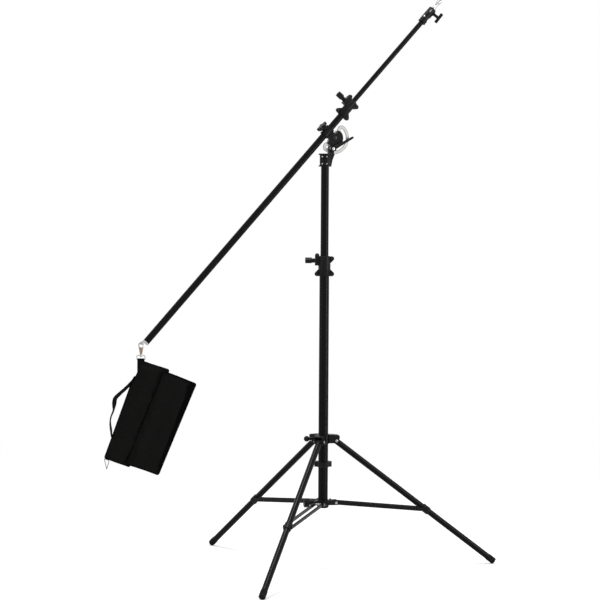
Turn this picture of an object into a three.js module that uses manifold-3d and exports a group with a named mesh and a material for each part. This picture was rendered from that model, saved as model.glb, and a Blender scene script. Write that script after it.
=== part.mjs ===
// Overhead boom arm: a folding tripod with a telescopic column, a tilting clamp head, a
// telescopic boom with a spigot at its high end, and a counterweight bag on its low end.
// Lengths are millimetres, angles are degrees, and +Z is up. The origin is on the floor, at
// the middle of the bottom of the whole object's box.
import * as THREE from 'three';
import { mergeVertices } from 'three/addons/utils/BufferGeometryUtils.js';
import Module from 'manifold-3d';

const wasm = await Module();
wasm.setup();

// Fits and facets
const runningGap = 0.3; // clearance between pieces that seat, slide or turn on each other
const overrun = 4; // how far a cut runs past the face that it opens
const weldDistance = 0.0001; // corners closer than this are one corner
const tubeSides = 24;
const barSides = 16;
const pinSides = 12;
const nubSides = (2 * pinSides) / 3;
const ringSides = 8;
const cornerSteps = 2; // half the straight steps in a rounded corner of an outline
const endSteps = 4; // half the straight steps in a rounded end
const rimSteps = 10; // half the straight steps along a long arc
const lobeSteps = 6; // straight steps round one lobe of a grip
const bendSteps = 3; // straight steps in a bend of a wire

// Tripod
const legCount = 3;
const firstLegAzimuth = 111; // from +X towards +Y, seen from above
const knobAzimuth = 171; // both hub knobs, midway between two legs
const legSpread = 52.75; // angle between a leg and the column
const legLength = 747; // from the hub pin to the end of the foot
const legRadius = 11;
const legWall = 1.5;
const hubPinDistance = 45; // from the column's axis to a leg's or a brace's hub pin
const braceStation = 421; // from the hub pin down the leg to the brace collar
const bracePinHeight = 237; // the lower hub's pins above the floor
const pinRadius = 3;
const pinHeadRadius = 4.8;
const pinHeadThickness = 1.8;
const footRadius = 12.2;
const footLength = 30;
const footCapThickness = 6;
const footRound = 3.5;
const footFlat = 0.8; // depth of the flat worn where the foot meets the floor

// Brace strips
const stripHeight = 14;
const stripThickness = 1.6;
const stripSetback = 14.2; // inner face of a strip from the middle plane of its leg
const ribHeight = 5;
const ribDepth = 1.5;
const ribStart = 16; // from a rivet to the start of the pressed rib

// Column and riser
const columnRadius = 17.5;
const columnWall = 1.6;
const columnTop = 1096; // above the floor
const riserRadius = 14.5;
const riserWall = 1.4;
const riserLength = 926;
const riserTop = 1487; // above the floor
const bushWall = 1; // of the guide bush's sleeve
const bushLength = 40;
const bushFlange = 2.4;
const plugLength = 26;

// Hubs
const hubRadius = 22;
const hubTop = 23; // above the leg pins
const hubDrop = 10; // below the leg pins
const hubReach = 57;
const lugTop = 20.5; // at a leg lug's outer end, above the pin
const lugDrop = 8.5;
const legCheek = 4.2; // thickness of a cheek beside a leg
const legEyeHalfWidth = 12.7;
const hubRoof = 3; // thickness of the roof over a leg's eye
const braceBossRadius = 21;
const braceBossDrop = 19; // below the brace pins
const braceBossRise = 10;
const braceBossFloor = 4;
const braceBossRound = 5;
const braceCheek = 3.4;
const braceReach = 55;
const braceCheekHalfHeight = 8;
const braceRootReach = 29; // how far the solid root of a brace lug stands out
const nubRadius = 3;
const nubHeight = 6;
const clipHeight = 20; // the ring that holds the folded legs
const clipWall = 3;
const clipReach = 30.5;
const clipHalfWidth = 10;
const clipDrop = 85; // from the leg pins to the ring's middle
const clipCradle = 4.5; // clearance between a clip and a folded leg
const clipYaw = 22; // the ring stands turned by this much from the legs

// Hub knobs
const shankRadius = 4;
const neckSwell = 1.8; // of a ball knob's neck over its shank
const knobBossRadius = 8.5;
const knobBossReach = 32;
const ballKnobRadius = 10.5;
const ballKnobDistance = 61;
const ballKnobRise = 7.5; // above the leg pins
const discKnobRadius = 16.5;
const discKnobThickness = 19;
const discKnobDistance = 60.5; // from the column's axis to the middle of the knob
const discKnobLobes = 8;
const discKnobRipple = 0.9;

// Collars, one on the column and one on the boom
const collarLength = 71;
const collarSeat = 43; // how deep the outer tube sits
const collarWall = 4.7;
const collarWaist = 1.6; // how much the barrel narrows at its ends
const earRadius = 8;
const earStandoff = 5; // from the barrel to the middle of an ear
const earThickness = 9;
const lowEarStation = 5;
const highEarStation = 62;
const boxEarStation = 73;
const boxLow = 37;
const boxStandoff = 12; // from the barrel to the face of the knob's box
const boxThickness = 20;
const riserKnobStation = 54.5;
const boomKnobStation = 50;
const collarYaw = -20; // the riser collar faces this way about the column
const collarShankRadius = 3.2;
const collarNeckRadius = 8;
const collarNeckLength = 11;
const collarHeadRadius = 11;
const collarHeadLength = 24;
const collarHeadRipple = 1.3;
const collarHeadLobes = 5;
const headBevel = 1.6;

// Tilt head
const pivotOffset = 36.2; // from the column's axis to the tilt axis
const pivotRise = 62.4; // from the riser's top to the tilt axis
const boomOffset = 36; // from the tilt axis to the boom's axis
const boomElevation = 47.9;
const cupRadius = 19.3;
const cupFlangeRadius = 23.5;
const cupFlange = 4;
const cupHeight = 47;
const cupRoof = 5.7;
const pivotRadius = 5;
const pivotHeadRadius = 10;
const pivotHeadHeight = 3.6;
const nutRadius = 9;
const nutThickness = 5;
const hubPlateRadius = 31;
const hubPlateThickness = 10.5;
const hubPlateTop = 7; // from the tilt axis to the plate's straight side
const plateMiddle = -5.5; // front face of the hub plate across the boom's plane
const arcThickness = 3;
const arcRadius = 41; // of the middle of the slot
const arcHalfWidth = 17;
const slotHalfWidth = 5;
const slotHalfSpan = 86;
const arcHeartRadius = 29;
const arcHeartTop = 13;
const boltAngle = -106; // of the locking bolt about the tilt axis, from +X
const boltRadius = 4.4;
const boltHeadRadius = 5.6;
const boltHeadThickness = 1.4;
const washerRadius = 9;
const cheekThickness = 8;
const cheekHeadRadius = 18;
const cheekShoulder = 9; // of the back cheek's edge, ahead of the tilt axis
const cheekShoulderDrop = 48;
const cheekFoot = 12; // of the back cheek's edge at the cup, behind the tilt axis
const earFront = -4; // front face of the yoke's ear across the boom's plane
const earEyeRadius = 9.2;
const slitGap = 0.8; // between the arc plate's rim and the yoke
const leverPlane = -18; // front face of the lever across the boom's plane
const leverThickness = 8;
const leverEyeRadius = 9;
const leverLength = 90;
const leverRootRadius = 6;
const leverTipRadius = 3.4;
const leverAngle = 28.7;

// Boom
const boomRadius = 12;
const boomWall = 1.5;
const boomTail = 1005; // from the clamp's middle to the outer tube's low end
const boomCollarStation = 77; // from the clamp's middle to the collar
const innerRadius = 9;
const innerWall = 1.2;
const innerReach = 555; // from the clamp's middle to the inner tube's high end
const innerLength = 1035;
const clampHalfLength = 18.5;
const clampShift = -3; // of the clamp's barrel and knob along the boom from the foot of its hub
const clampRadius = 17;
const clampLip = 3.5;
const clampLipRise = 0.9;
const clampNeckHalfThickness = 7;
const clampBossRadius = 9.5;
const clampBossHeight = 1;
const padRadius = 5;
const padThickness = 2.2;
const starRadius = 22;
const starRipple = 4.5;
const starLobes = 5;
const starThickness = 12;
const starHubRadius = 9;
const starHubHeight = 2.4;

// Boom head
const headLap = 12; // of the head over the inner tube's high end
const headStation = innerReach - headLap; // from the clamp's middle to the head's low ring
const headRoll = -24; // the head is turned this much about the boom
const headRadius = 14.8;
const headRing = 4;
const headRingPitch = 8.5;
const headGroove = 1.6; // depth of the groove between the rings
const headLength = 67;
const headRound = 3.5;
const headScallopReach = 24; // from the head's low ring
const headScallopStation = headStation + headScallopReach;
const headScallopDepth = 4.4;
const headScallopRadius = 20;
const headBossRadius = 7;
const headBossRise = 1.6;
const windowReach = 46; // from the head's low ring
const windowStation = headStation + windowReach;
const windowLength = 13;
const windowHalfHeight = 2.2;
const headScrewReach = 53; // from the head's low ring
const headScrewStation = headStation + headScrewReach;
const headScrewRadius = 4;
const headScrewCollar = 5.5;
const teeDistance = 38.5; // from the boom's axis to the middle of the tee bar
const teeHalfLength = 20.5;
const teeRadius = 5.8;
const teeTurn = 19; // the tee bar is turned this much about its screw
const spigotRadius = 8;
const spigotWaistRadius = 6.2;
const spigotBase = 8;
const spigotWaist = 20;
const spigotHead = 14;
const spigotSocketDepth = 30;
const spigotGroove = 1.2; // depth of the groove that the screw presses in
const spigotGrooveLength = 12;
const studRadius = 3.1;
const studLength = 10;

// Boom eye and snap hook
const eyePlugLength = 20;
const eyeFlange = 6.5;
const eyeRound = 1.2;
const bailBarRadius = 2.6;
const bailHalfWidth = 6.5;
const bailReach = 17.5; // from the tube's end to the cross bar
const bailRise = 9.4; // of the bail above the boom's axis
const bailRound = 4;
const hookWire = 1.9;
const hookBowRadius = 7.6;
const hookDrop = 37; // from the cross bar to the foot of the hook
const hookBaseRadius = 3;
const hookBodyTop = 11; // below the cross bar
const hookBodyHalfThickness = 2.1;
const gateRadius = 1.3;
const gatePinDrop = 21;
const gatePinOffset = 4.6;
const gateTipDrop = 6;
const gateTipOffset = 7.6;
const gateNubRadius = 1.9;
const gateNubShare = 0.4; // of the gate's length, from its pin to the nub
const swivelRadius = 2;
const swivelNutRadius = 3.6;
const swivelNutLength = 3;
const loopWire = 1.8;
const loopHalfWidth = 14.6;
const loopHeight = 14.5;
const loopRound = 6;
const swivelBossRadius = 4.2;
const swivelBossLength = 4.6;

// Counterweight bag, by places across and down from the loop's bar
const bagYaw = -20; // the bag faces this way about the hook's swivel
const bagHang = 20.5; // the bag hangs from its corner, turned by this much
const tabHalfWidth = 12.5;
const tabHalfThickness = 4;
const tabDrop = 34;
const mainPouchCorners = [[-4.7, 2], [107, -1.5], [98, 368], [2, 368]];
const frontPouchCorners = [[88, 7], [212.5, 9.5], [202.5, 357], [79, 359]];
const pouchThickness = 34;
const frontPouchThickness = 13;
const pouchEdge = 5; // thickness of a pouch at its seam
const pouchLap = 9; // how far each pouch moves aside where the two overlap
const lapStart = 40; // across the bag, where the main pouch starts to move aside
const lapEnd = 150; // across the bag, where the front pouch has come back
const lapPower = 2; // how sharply the pouches move aside
const crownShare = 0.35; // how soon a pouch is full below its top seam
const pouchColumns = 8;
const pouchRows = 12;
const strapThickness = 2.6;
const strapHalfWidth = 12;
const strapSteps = 26;
const strapOffset = -4.4; // clears the bag's side
const strapPath = [
  [-1.2, 74], [-8, 94], [-25, 126], [-39, 155], [-40, 166], [-25, 187], [-22, 200], [-24, 228],
  [-19, 246], [-8, 268], [1, 287],
];
const ringWire = 1.3;
const ringHalfWidth = 9;
const ringDrop = 34;
const ringStation = 13; // from the bag's hanging corner to the middle of the ring's sleeve
const ringSleeveHalfWidth = 4.6;
const ringSleeveRadius = 3.4;

// Angles
const quarterTurn = Math.PI / 2;
const earSweep = 1.5 * quarterTurn;
const fullTurn = 2 * Math.PI;
const radians = THREE.MathUtils.degToRad;

// Solids

// A closed solid from a geometry: corners are welded, empty faces dropped and faces turned out.
function solidOf(geometry) {
  const bare = geometry.index ? geometry.toNonIndexed() : geometry.clone();
  bare.deleteAttribute('normal');
  bare.deleteAttribute('uv');
  const merged = mergeVertices(bare, weldDistance);
  const corners = merged.getAttribute('position');
  const kept = [];
  let volume = 0;
  const a = new THREE.Vector3();
  const b = new THREE.Vector3();
  const c = new THREE.Vector3();
  for (let i = 0; i < merged.index.count; i += 3) {
    const [p, q, r] = [merged.index.getX(i), merged.index.getX(i + 1), merged.index.getX(i + 2)];
    if (p === q || q === r || r === p) continue;
    kept.push(p, q, r);
    a.fromBufferAttribute(corners, p);
    b.fromBufferAttribute(corners, q);
    c.fromBufferAttribute(corners, r);
    volume += a.dot(b.cross(c));
  }
  if (volume < 0) kept.reverse();
  return new wasm.Manifold(new wasm.Mesh({
    numProp: 3,
    vertProperties: new Float32Array(corners.array),
    triVerts: new Uint32Array(kept),
  }));
}

function geometryOf(solid) {
  const mesh = solid.getMesh();
  const geometry = new THREE.BufferGeometry();
  geometry.setAttribute('position', new THREE.BufferAttribute(mesh.vertProperties, mesh.numProp));
  geometry.setIndex(new THREE.BufferAttribute(mesh.triVerts, 1));
  return geometry;
}

function join(...geometries) {
  return geometryOf(geometries.map(solidOf).reduce((whole, next) => whole.add(next)));
}

function cut(geometry, ...tools) {
  return geometryOf(tools.map(solidOf).reduce((whole, tool) => whole.subtract(tool), solidOf(geometry)));
}

// Turns a geometry made along +X to lie along another axis.
const alongY = (geometry) => geometry.rotateZ(quarterTurn);
const alongZ = (geometry) => geometry.rotateY(-quarterTurn);
const turnedBy = (geometry, azimuth) => geometry.rotateZ(radians(azimuth));

// A body of revolution about +X from [distance along, radius] pairs.
function turned(profile, sides = tubeSides) {
  const points = profile.map(([along, radius]) => new THREE.Vector2(radius, along));
  return new THREE.LatheGeometry(points, sides).rotateZ(-quarterTurn);
}

function rod(radius, from, to, sides = tubeSides) {
  return turned([[from, 0], [from, radius], [to, radius], [to, 0]], sides);
}

function hollow(outer, inner, from, to, sides = tubeSides) {
  return turned([[from, inner], [from, outer], [to, outer], [to, inner], [from, inner]], sides);
}

function block(xFrom, xTo, yFrom, yTo, zFrom, zTo) {
  return new THREE.BoxGeometry(xTo - xFrom, yTo - yFrom, zTo - zFrom)
    .translate((xFrom + xTo) / 2, (yFrom + yTo) / 2, (zFrom + zTo) / 2);
}

// A plate whose outline lies in the XZ plane, between two places across Y.
function uprightPlate(shape, yFrom, yTo, curveSegments = cornerSteps) {
  const depth = yTo - yFrom;
  return new THREE.ExtrudeGeometry(shape, { depth, bevelEnabled: false, curveSegments })
    .rotateX(quarterTurn)
    .translate(0, yTo, 0);
}

// Outlines

function roundedBar(from, to, halfHeight, corner = halfHeight) {
  const shape = new THREE.Shape();
  shape.absarc(to - corner, halfHeight - corner, corner, quarterTurn, 0, true);
  shape.absarc(to - corner, corner - halfHeight, corner, 0, -quarterTurn, true);
  shape.absarc(from + corner, corner - halfHeight, corner, -quarterTurn, -2 * quarterTurn, true);
  shape.absarc(from + corner, halfHeight - corner, corner, 2 * quarterTurn, quarterTurn, true);
  shape.closePath();
  return shape;
}

function polygon(points) {
  return new THREE.Shape(points.map(([x, y]) => new THREE.Vector2(x, y)));
}

// A wavy round outline: the radius swells and shrinks once for each lobe.
function lobedOutline(radius, ripple, lobes) {
  const count = lobes * lobeSteps;
  const points = Array.from({ length: count }, (_, i) => {
    const angle = (fullTurn * i) / count;
    const reach = radius - ripple + ripple * Math.cos(lobes * angle);
    return [reach * Math.cos(angle), reach * Math.sin(angle)];
  });
  return polygon(points);
}

// A lobed grip along +X, with its two rims bevelled.
function lobedGrip(radius, ripple, lobes, from, to, bevel = headBevel) {
  return new THREE.ExtrudeGeometry(lobedOutline(radius - bevel, ripple, lobes), {
    depth: to - from - 2 * bevel,
    bevelEnabled: true,
    bevelThickness: bevel,
    bevelSize: bevel,
    bevelSegments: 1,
    curveSegments: 1,
  })
    .translate(0, 0, from + bevel)
    .rotateY(quarterTurn);
}

// A round wire along an open curve.
function wire(curve, radius, steps, sides = pinSides) {
  const section = new THREE.Shape(
    Array.from({ length: sides }, (_, i) => {
      const angle = (fullTurn * i) / sides;
      return new THREE.Vector2(radius * Math.cos(angle), radius * Math.sin(angle));
    }),
  );
  return new THREE.ExtrudeGeometry(section, { steps, extrudePath: curve, bevelEnabled: false });
}

// The corners of a flat path, each rounded off by an arc-like curve, as points in the XZ plane.
function roundedPath(corners, rounds, closed) {
  const points = [];
  corners.forEach((corner, i) => {
    const isEnd = !closed && (i === 0 || i === corners.length - 1);
    if (isEnd) {
      points.push(corner);
      return;
    }
    const before = corners[(i + corners.length - 1) % corners.length];
    const after = corners[(i + 1) % corners.length];
    const start = corner.clone().lerp(before, rounds[i] / corner.distanceTo(before));
    const end = corner.clone().lerp(after, rounds[i] / corner.distanceTo(after));
    const bend = new THREE.QuadraticBezierCurve3(start, corner, end);
    points.push(...bend.getPoints(bendSteps));
  });
  return points;
}

// A closed ring of round wire through points in the XZ plane.
function wireRing(points, radius, sides = pinSides) {
  const count = points.length;
  const across = new THREE.Vector3(0, 1, 0);
  const corners = [];
  points.forEach((point, i) => {
    const ahead = points[(i + 1) % count].clone().sub(point).normalize();
    const behind = point.clone().sub(points[(i + count - 1) % count]).normalize();
    const along = ahead.add(behind).normalize();
    const outward = new THREE.Vector3().crossVectors(along, across).normalize();
    for (let k = 0; k < sides; k += 1) {
      const angle = (fullTurn * k) / sides;
      const corner = point.clone()
        .addScaledVector(outward, radius * Math.cos(angle))
        .addScaledVector(across, radius * Math.sin(angle));
      corners.push(corner.x, corner.y, corner.z);
    }
  });
  const faces = [];
  for (let i = 0; i < count; i += 1) {
    for (let k = 0; k < sides; k += 1) {
      const a = i * sides + k;
      const b = i * sides + ((k + 1) % sides);
      const c = ((i + 1) % count) * sides + ((k + 1) % sides);
      const d = ((i + 1) % count) * sides + k;
      faces.push(a, b, c, a, c, d);
    }
  }
  const geometry = new THREE.BufferGeometry();
  geometry.setAttribute('position', new THREE.Float32BufferAttribute(corners, 3));
  geometry.setIndex(faces);
  return geometry;
}

// A closed soft form over a grid: front(u, v) and back(u, v) give the two faces' points, and
// the rim joins their edges.
function pillow(front, back, columns, rows) {
  const wide = columns + 1;
  const tall = rows + 1;
  const corners = [];
  [front, back].forEach((face) => {
    for (let j = 0; j < tall; j += 1) {
      for (let i = 0; i < wide; i += 1) corners.push(...face(i / columns, j / rows));
    }
  });
  const faces = [];
  const at = (i, j) => j * wide + i;
  const behind = wide * tall;
  for (let j = 0; j < rows; j += 1) {
    for (let i = 0; i < columns; i += 1) {
      const [a, b, c, d] = [at(i, j), at(i + 1, j), at(i + 1, j + 1), at(i, j + 1)];
      faces.push(a, b, c, a, c, d);
      faces.push(behind + a, behind + c, behind + b, behind + a, behind + d, behind + c);
    }
  }
  const rim = [];
  for (let i = 0; i < columns; i += 1) rim.push(at(i, 0));
  for (let j = 0; j < rows; j += 1) rim.push(at(columns, j));
  for (let i = columns; i > 0; i -= 1) rim.push(at(i, rows));
  for (let j = rows; j > 0; j -= 1) rim.push(at(0, j));
  rim.forEach((here, i) => {
    const next = rim[(i + 1) % rim.length];
    faces.push(next, here, behind + here, next, behind + here, behind + next);
  });
  const geometry = new THREE.BufferGeometry();
  geometry.setAttribute('position', new THREE.Float32BufferAttribute(corners, 3));
  geometry.setIndex(faces);
  return join(geometry);
}

// Finishes
const finish = (color, roughness, metalness) => ({ color, roughness, metalness });
const blackTube = finish(0x1c1c1d, 0.38, 0.1);
const blackPlastic = finish(0x19191a, 0.6, 0);
const blackRubber = finish(0x161616, 0.85, 0);
const blackCasting = finish(0x1b1b1c, 0.5, 0.1);
const chrome = finish(0xd8d8d8, 0.2, 1);
const nickel = finish(0x9c8c80, 0.35, 1);
const nylon = finish(0x2a2a2b, 0.7, 0);
const cloth = finish(0x121212, 0.95, 0);

function piece(name, geometry, look) {
  const mesh = new THREE.Mesh(geometry, new THREE.MeshStandardMaterial(look));
  mesh.name = name;
  return mesh;
}

function frameAt(x, y, z, parent) {
  const group = new THREE.Group();
  group.position.set(x, y, z);
  parent.add(group);
  return group;
}

// Sizes worked out from those above
const columnBore = columnRadius - columnWall;
const riserBore = riserRadius - riserWall;
const boomBore = boomRadius - boomWall;
const innerBore = innerRadius - innerWall;
const spread = radians(legSpread);
const footRoundDrop = footRound - footFlat;
const legPinHeight = (legLength - footRound) * Math.cos(spread)
  + (footRadius - footRound) * Math.sin(spread) + footRoundDrop;
const braceReachOut = braceStation * Math.sin(spread);
const braceFall = bracePinHeight - (legPinHeight - braceStation * Math.cos(spread));
const braceLength = Math.hypot(braceReachOut, braceFall);
const braceSlope = Math.atan2(braceFall, braceReachOut);
const legLugHalfWidth = legEyeHalfWidth + runningGap + legCheek;
const braceCheekInner = stripSetback + stripThickness + runningGap;
const braceLugHalfWidth = braceCheekInner + braceCheek;
const legEyeRadius = legRadius + runningGap;
const columnFoot = bracePinHeight - braceBossDrop + braceBossFloor + runningGap;
const collarFoot = columnTop - collarSeat;
const pivotHeight = riserTop + pivotRise;
const armTop = riserTop + runningGap + cupRoof;
const outerNose = boomCollarStation + collarSeat;
const slotHalfSpanRadians = radians(slotHalfSpan);
const hubPlateBack = plateMiddle + hubPlateThickness;
const arcFront = hubPlateBack + runningGap;
const arcBack = arcFront + arcThickness;
const cheekFront = arcBack + runningGap;
const cheekBack = cheekFront + cheekThickness;
const arcRim = arcRadius + arcHalfWidth;

const armAzimuths = Array.from({ length: legCount }, (_, i) => firstLegAzimuth + (i * 360) / legCount);
const letters = ['a', 'b', 'c'];

// Pins across a lug: a shank with a head outside each cheek.
function crossPin(halfWidth) {
  const seat = halfWidth + runningGap;
  const end = seat + pinHeadThickness;
  return alongY(turned([
    [-end, 0], [-end, pinHeadRadius], [-seat, pinHeadRadius], [-seat, pinRadius],
    [seat, pinRadius], [seat, pinHeadRadius], [end, pinHeadRadius], [end, 0],
  ], pinSides));
}

// Leg hub: a sleeve on the column with a roofed lug for each leg, open below.
function legHub() {
  const parts = [alongZ(rod(hubRadius, -hubDrop, hubTop))];
  const channels = [];
  const half = legEyeHalfWidth + runningGap;
  const inner = hubRadius + runningGap;
  armAzimuths.forEach((azimuth) => {
    const outline = new THREE.Shape();
    outline.moveTo(columnRadius, -lugDrop);
    outline.lineTo(hubPinDistance, -lugDrop);
    outline.absarc(hubPinDistance, 0, lugDrop, -quarterTurn, -quarterTurn / 2, false);
    outline.lineTo(hubReach, lugDrop);
    outline.lineTo(hubReach, lugTop - hubRoof);
    outline.lineTo(hubReach - hubRoof, lugTop);
    outline.lineTo(columnRadius, hubTop);
    outline.closePath();
    parts.push(turnedBy(uprightPlate(outline, -legLugHalfWidth, legLugHalfWidth), azimuth));
    const under = lugTop - hubRoof;
    const channel = polygon([
      [inner, -lugDrop - overrun], [hubReach + overrun, -lugDrop - overrun],
      [hubReach + overrun, under - hubRoof], [hubReach - hubRoof, under], [inner, under],
    ]);
    channels.push(turnedBy(uprightPlate(channel, -half, half), azimuth));
    const bore = alongY(rod(pinRadius + runningGap, -hubReach, hubReach, pinSides));
    channels.push(turnedBy(bore.translate(hubPinDistance, 0, 0), azimuth));
  });
  const boss = rod(knobBossRadius, columnRadius, knobBossReach, barSides).translate(0, 0, ballKnobRise);
  parts.push(turnedBy(boss, knobAzimuth));
  const shank = rod(shankRadius + runningGap, 0, knobBossReach + overrun, pinSides)
    .translate(0, 0, ballKnobRise);
  const bore = alongZ(rod(columnRadius + runningGap, -hubDrop - overrun, hubTop + overrun));
  return cut(join(...parts), ...channels, turnedBy(shank, knobAzimuth), bore);
}

// Brace hub: a cup on the column's foot with a pair of cheeks for each brace.
function braceHub() {
  const top = braceBossRise;
  const parts = [alongZ(turned([
    [-braceBossDrop, 0], [-braceBossDrop, braceBossRadius - braceBossRound],
    [-braceBossDrop + braceBossRound * (1 - Math.SQRT1_2), braceBossRadius - braceBossRound * (1 - Math.SQRT1_2)],
    [-braceBossDrop + braceBossRound, braceBossRadius], [top, braceBossRadius], [top, 0],
  ]))];
  const bores = [];
  armAzimuths.forEach((azimuth) => {
    const cheek = roundedBar(0, braceReach, braceCheekHalfHeight, braceCheekHalfHeight / 2);
    [-braceLugHalfWidth, braceCheekInner].forEach((side) => {
      parts.push(turnedBy(uprightPlate(cheek, side, side + braceCheek), azimuth));
    });
    const root = braceCheekInner + braceCheek / 2;
    const level = braceCheekHalfHeight - runningGap;
    parts.push(turnedBy(block(0, braceRootReach, -root, root, -level, level), azimuth));
    const nub = alongZ(rod(nubRadius, 0, braceCheekHalfHeight + nubHeight, pinSides));
    parts.push(turnedBy(nub.translate(braceRootReach - nubRadius, 0, 0), azimuth));
    const bore = alongY(rod(pinRadius + runningGap, -braceReach, braceReach, pinSides));
    bores.push(turnedBy(bore.translate(hubPinDistance, 0, 0), azimuth));
  });
  parts.push(turnedBy(rod(knobBossRadius, columnRadius, knobBossReach, barSides), knobAzimuth));
  const shank = rod(shankRadius + runningGap, 0, knobBossReach + overrun, pinSides);
  const floor = braceBossFloor - braceBossDrop;
  const seat = alongZ(rod(columnRadius + runningGap, floor, top + nubHeight + overrun));
  return cut(join(...parts), ...bores, turnedBy(shank, knobAzimuth), seat);
}

// A ring on the column whose hollowed jaws cradle the folded legs.
function legClipRing() {
  const half = clipHeight / 2;
  const parts = [alongZ(rod(columnRadius + runningGap + clipWall, -half, half))];
  const cuts = [alongZ(rod(columnRadius + runningGap, -half - overrun, half + overrun))];
  armAzimuths.forEach((azimuth) => {
    parts.push(turnedBy(block(columnRadius, clipReach, -clipHalfWidth, clipHalfWidth, -half, half), azimuth));
    const cradle = alongZ(rod(legRadius + clipCradle, -half - overrun, half + overrun, barSides));
    cuts.push(turnedBy(cradle.translate(hubPinDistance, 0, 0), azimuth));
  });
  return cut(join(...parts), ...cuts);
}

function ballKnob() {
  const tip = columnRadius + runningGap;
  const neck = ballKnobDistance - ballKnobRadius;
  const seat = knobBossReach + runningGap;
  const shank = turned([
    [tip, 0], [tip, shankRadius], [seat, shankRadius], [seat, shankRadius + neckSwell],
    [neck + ballKnobRadius / 2, shankRadius + neckSwell], [neck + ballKnobRadius / 2, 0],
  ], pinSides);
  const ball = new THREE.SphereGeometry(ballKnobRadius, barSides, pinSides).translate(ballKnobDistance, 0, 0);
  return join(shank, ball).translate(0, 0, ballKnobRise);
}

function discKnob() {
  const tip = columnRadius + runningGap;
  const near = discKnobDistance - discKnobThickness / 2;
  const seat = knobBossReach + runningGap;
  const shank = turned([
    [tip, 0], [tip, shankRadius], [seat, shankRadius], [seat, knobBossRadius],
    [near + headBevel + overrun, knobBossRadius], [near + headBevel + overrun, 0],
  ], pinSides);
  const far = near + discKnobThickness;
  return join(shank, lobedGrip(discKnobRadius, discKnobRipple, discKnobLobes, near, far));
}

// Leg pieces, along +X from the hub pin
function legHead() {
  const shoulder = legEyeRadius + runningGap;
  const eye = alongY(rod(legRadius, -legEyeHalfWidth, legEyeHalfWidth, barSides));
  const neck = rod(legRadius, 0, shoulder, barSides);
  const plug = rod(legRadius - legWall - runningGap, 0, shoulder + footLength, barSides);
  const bore = alongY(rod(pinRadius + runningGap, -hubReach, hubReach, pinSides));
  return cut(join(eye, neck, plug), bore);
}

function legTube() {
  const start = legEyeRadius + 2 * runningGap;
  return hollow(legRadius, legRadius - legWall, start, legLength - footCapThickness - runningGap, barSides);
}

// Brace collar: a sleeve on the leg with a flat pad towards each strip.
function legCollar() {
  const pad = stripSetback - runningGap;
  const half = stripHeight;
  const sleeve = rod(pad, -half, half, barSides);
  const pads = alongY(rod(stripHeight / 2 + ribDepth, -pad, pad, barSides));
  return cut(join(sleeve, pads), rod(legRadius + runningGap, -half - overrun, half + overrun, barSides))
    .translate(braceStation, 0, 0);
}

// Rubber foot, cut flat where it stands.
function foot(legFrameInverse) {
  const cap = turned([
    [legLength - footLength, 0], [legLength - footLength, footRadius], [legLength - footRound, footRadius],
    [legLength - footRound * (1 - Math.SQRT1_2), footRadius - footRound * (1 - Math.SQRT1_2)],
    [legLength, footRadius - footRound], [legLength, 0],
  ], barSides);
  const socketEnd = legLength - footCapThickness;
  const socket = rod(legRadius + runningGap, legLength - footLength - overrun, socketEnd, barSides);
  const reach = legLength + hubPinDistance + footLength;
  const floor = block(0, reach, -footLength, footLength, -footLength, 0).applyMatrix4(legFrameInverse);
  return cut(cap, socket, floor);
}

// Brace strip, along +X from the hub pin: a pressed flat with a rib, and a rivet at the leg.
function braceStrip(side) {
  const inner = stripSetback;
  const outer = stripSetback + stripThickness;
  const between = (from, to) => (side > 0 ? [from, to] : [-to, -from]);
  const half = stripHeight / 2;
  const flat = uprightPlate(roundedBar(-half, braceLength + half, half), ...between(inner, outer));
  const rib = roundedBar(ribStart, braceLength - ribStart, ribHeight / 2);
  const ridge = uprightPlate(rib, ...between(inner + stripThickness / 2, outer + ribDepth));
  const [from, to] = between(inner + stripThickness / 2, outer + pinHeadThickness);
  const rivet = alongY(rod(pinHeadRadius, from, to, pinSides)).translate(braceLength, 0, 0);
  const eye = alongY(rod(pinRadius + runningGap, -outer - overrun, outer + overrun, pinSides));
  return cut(join(flat, ridge, rivet), eye);
}

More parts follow.
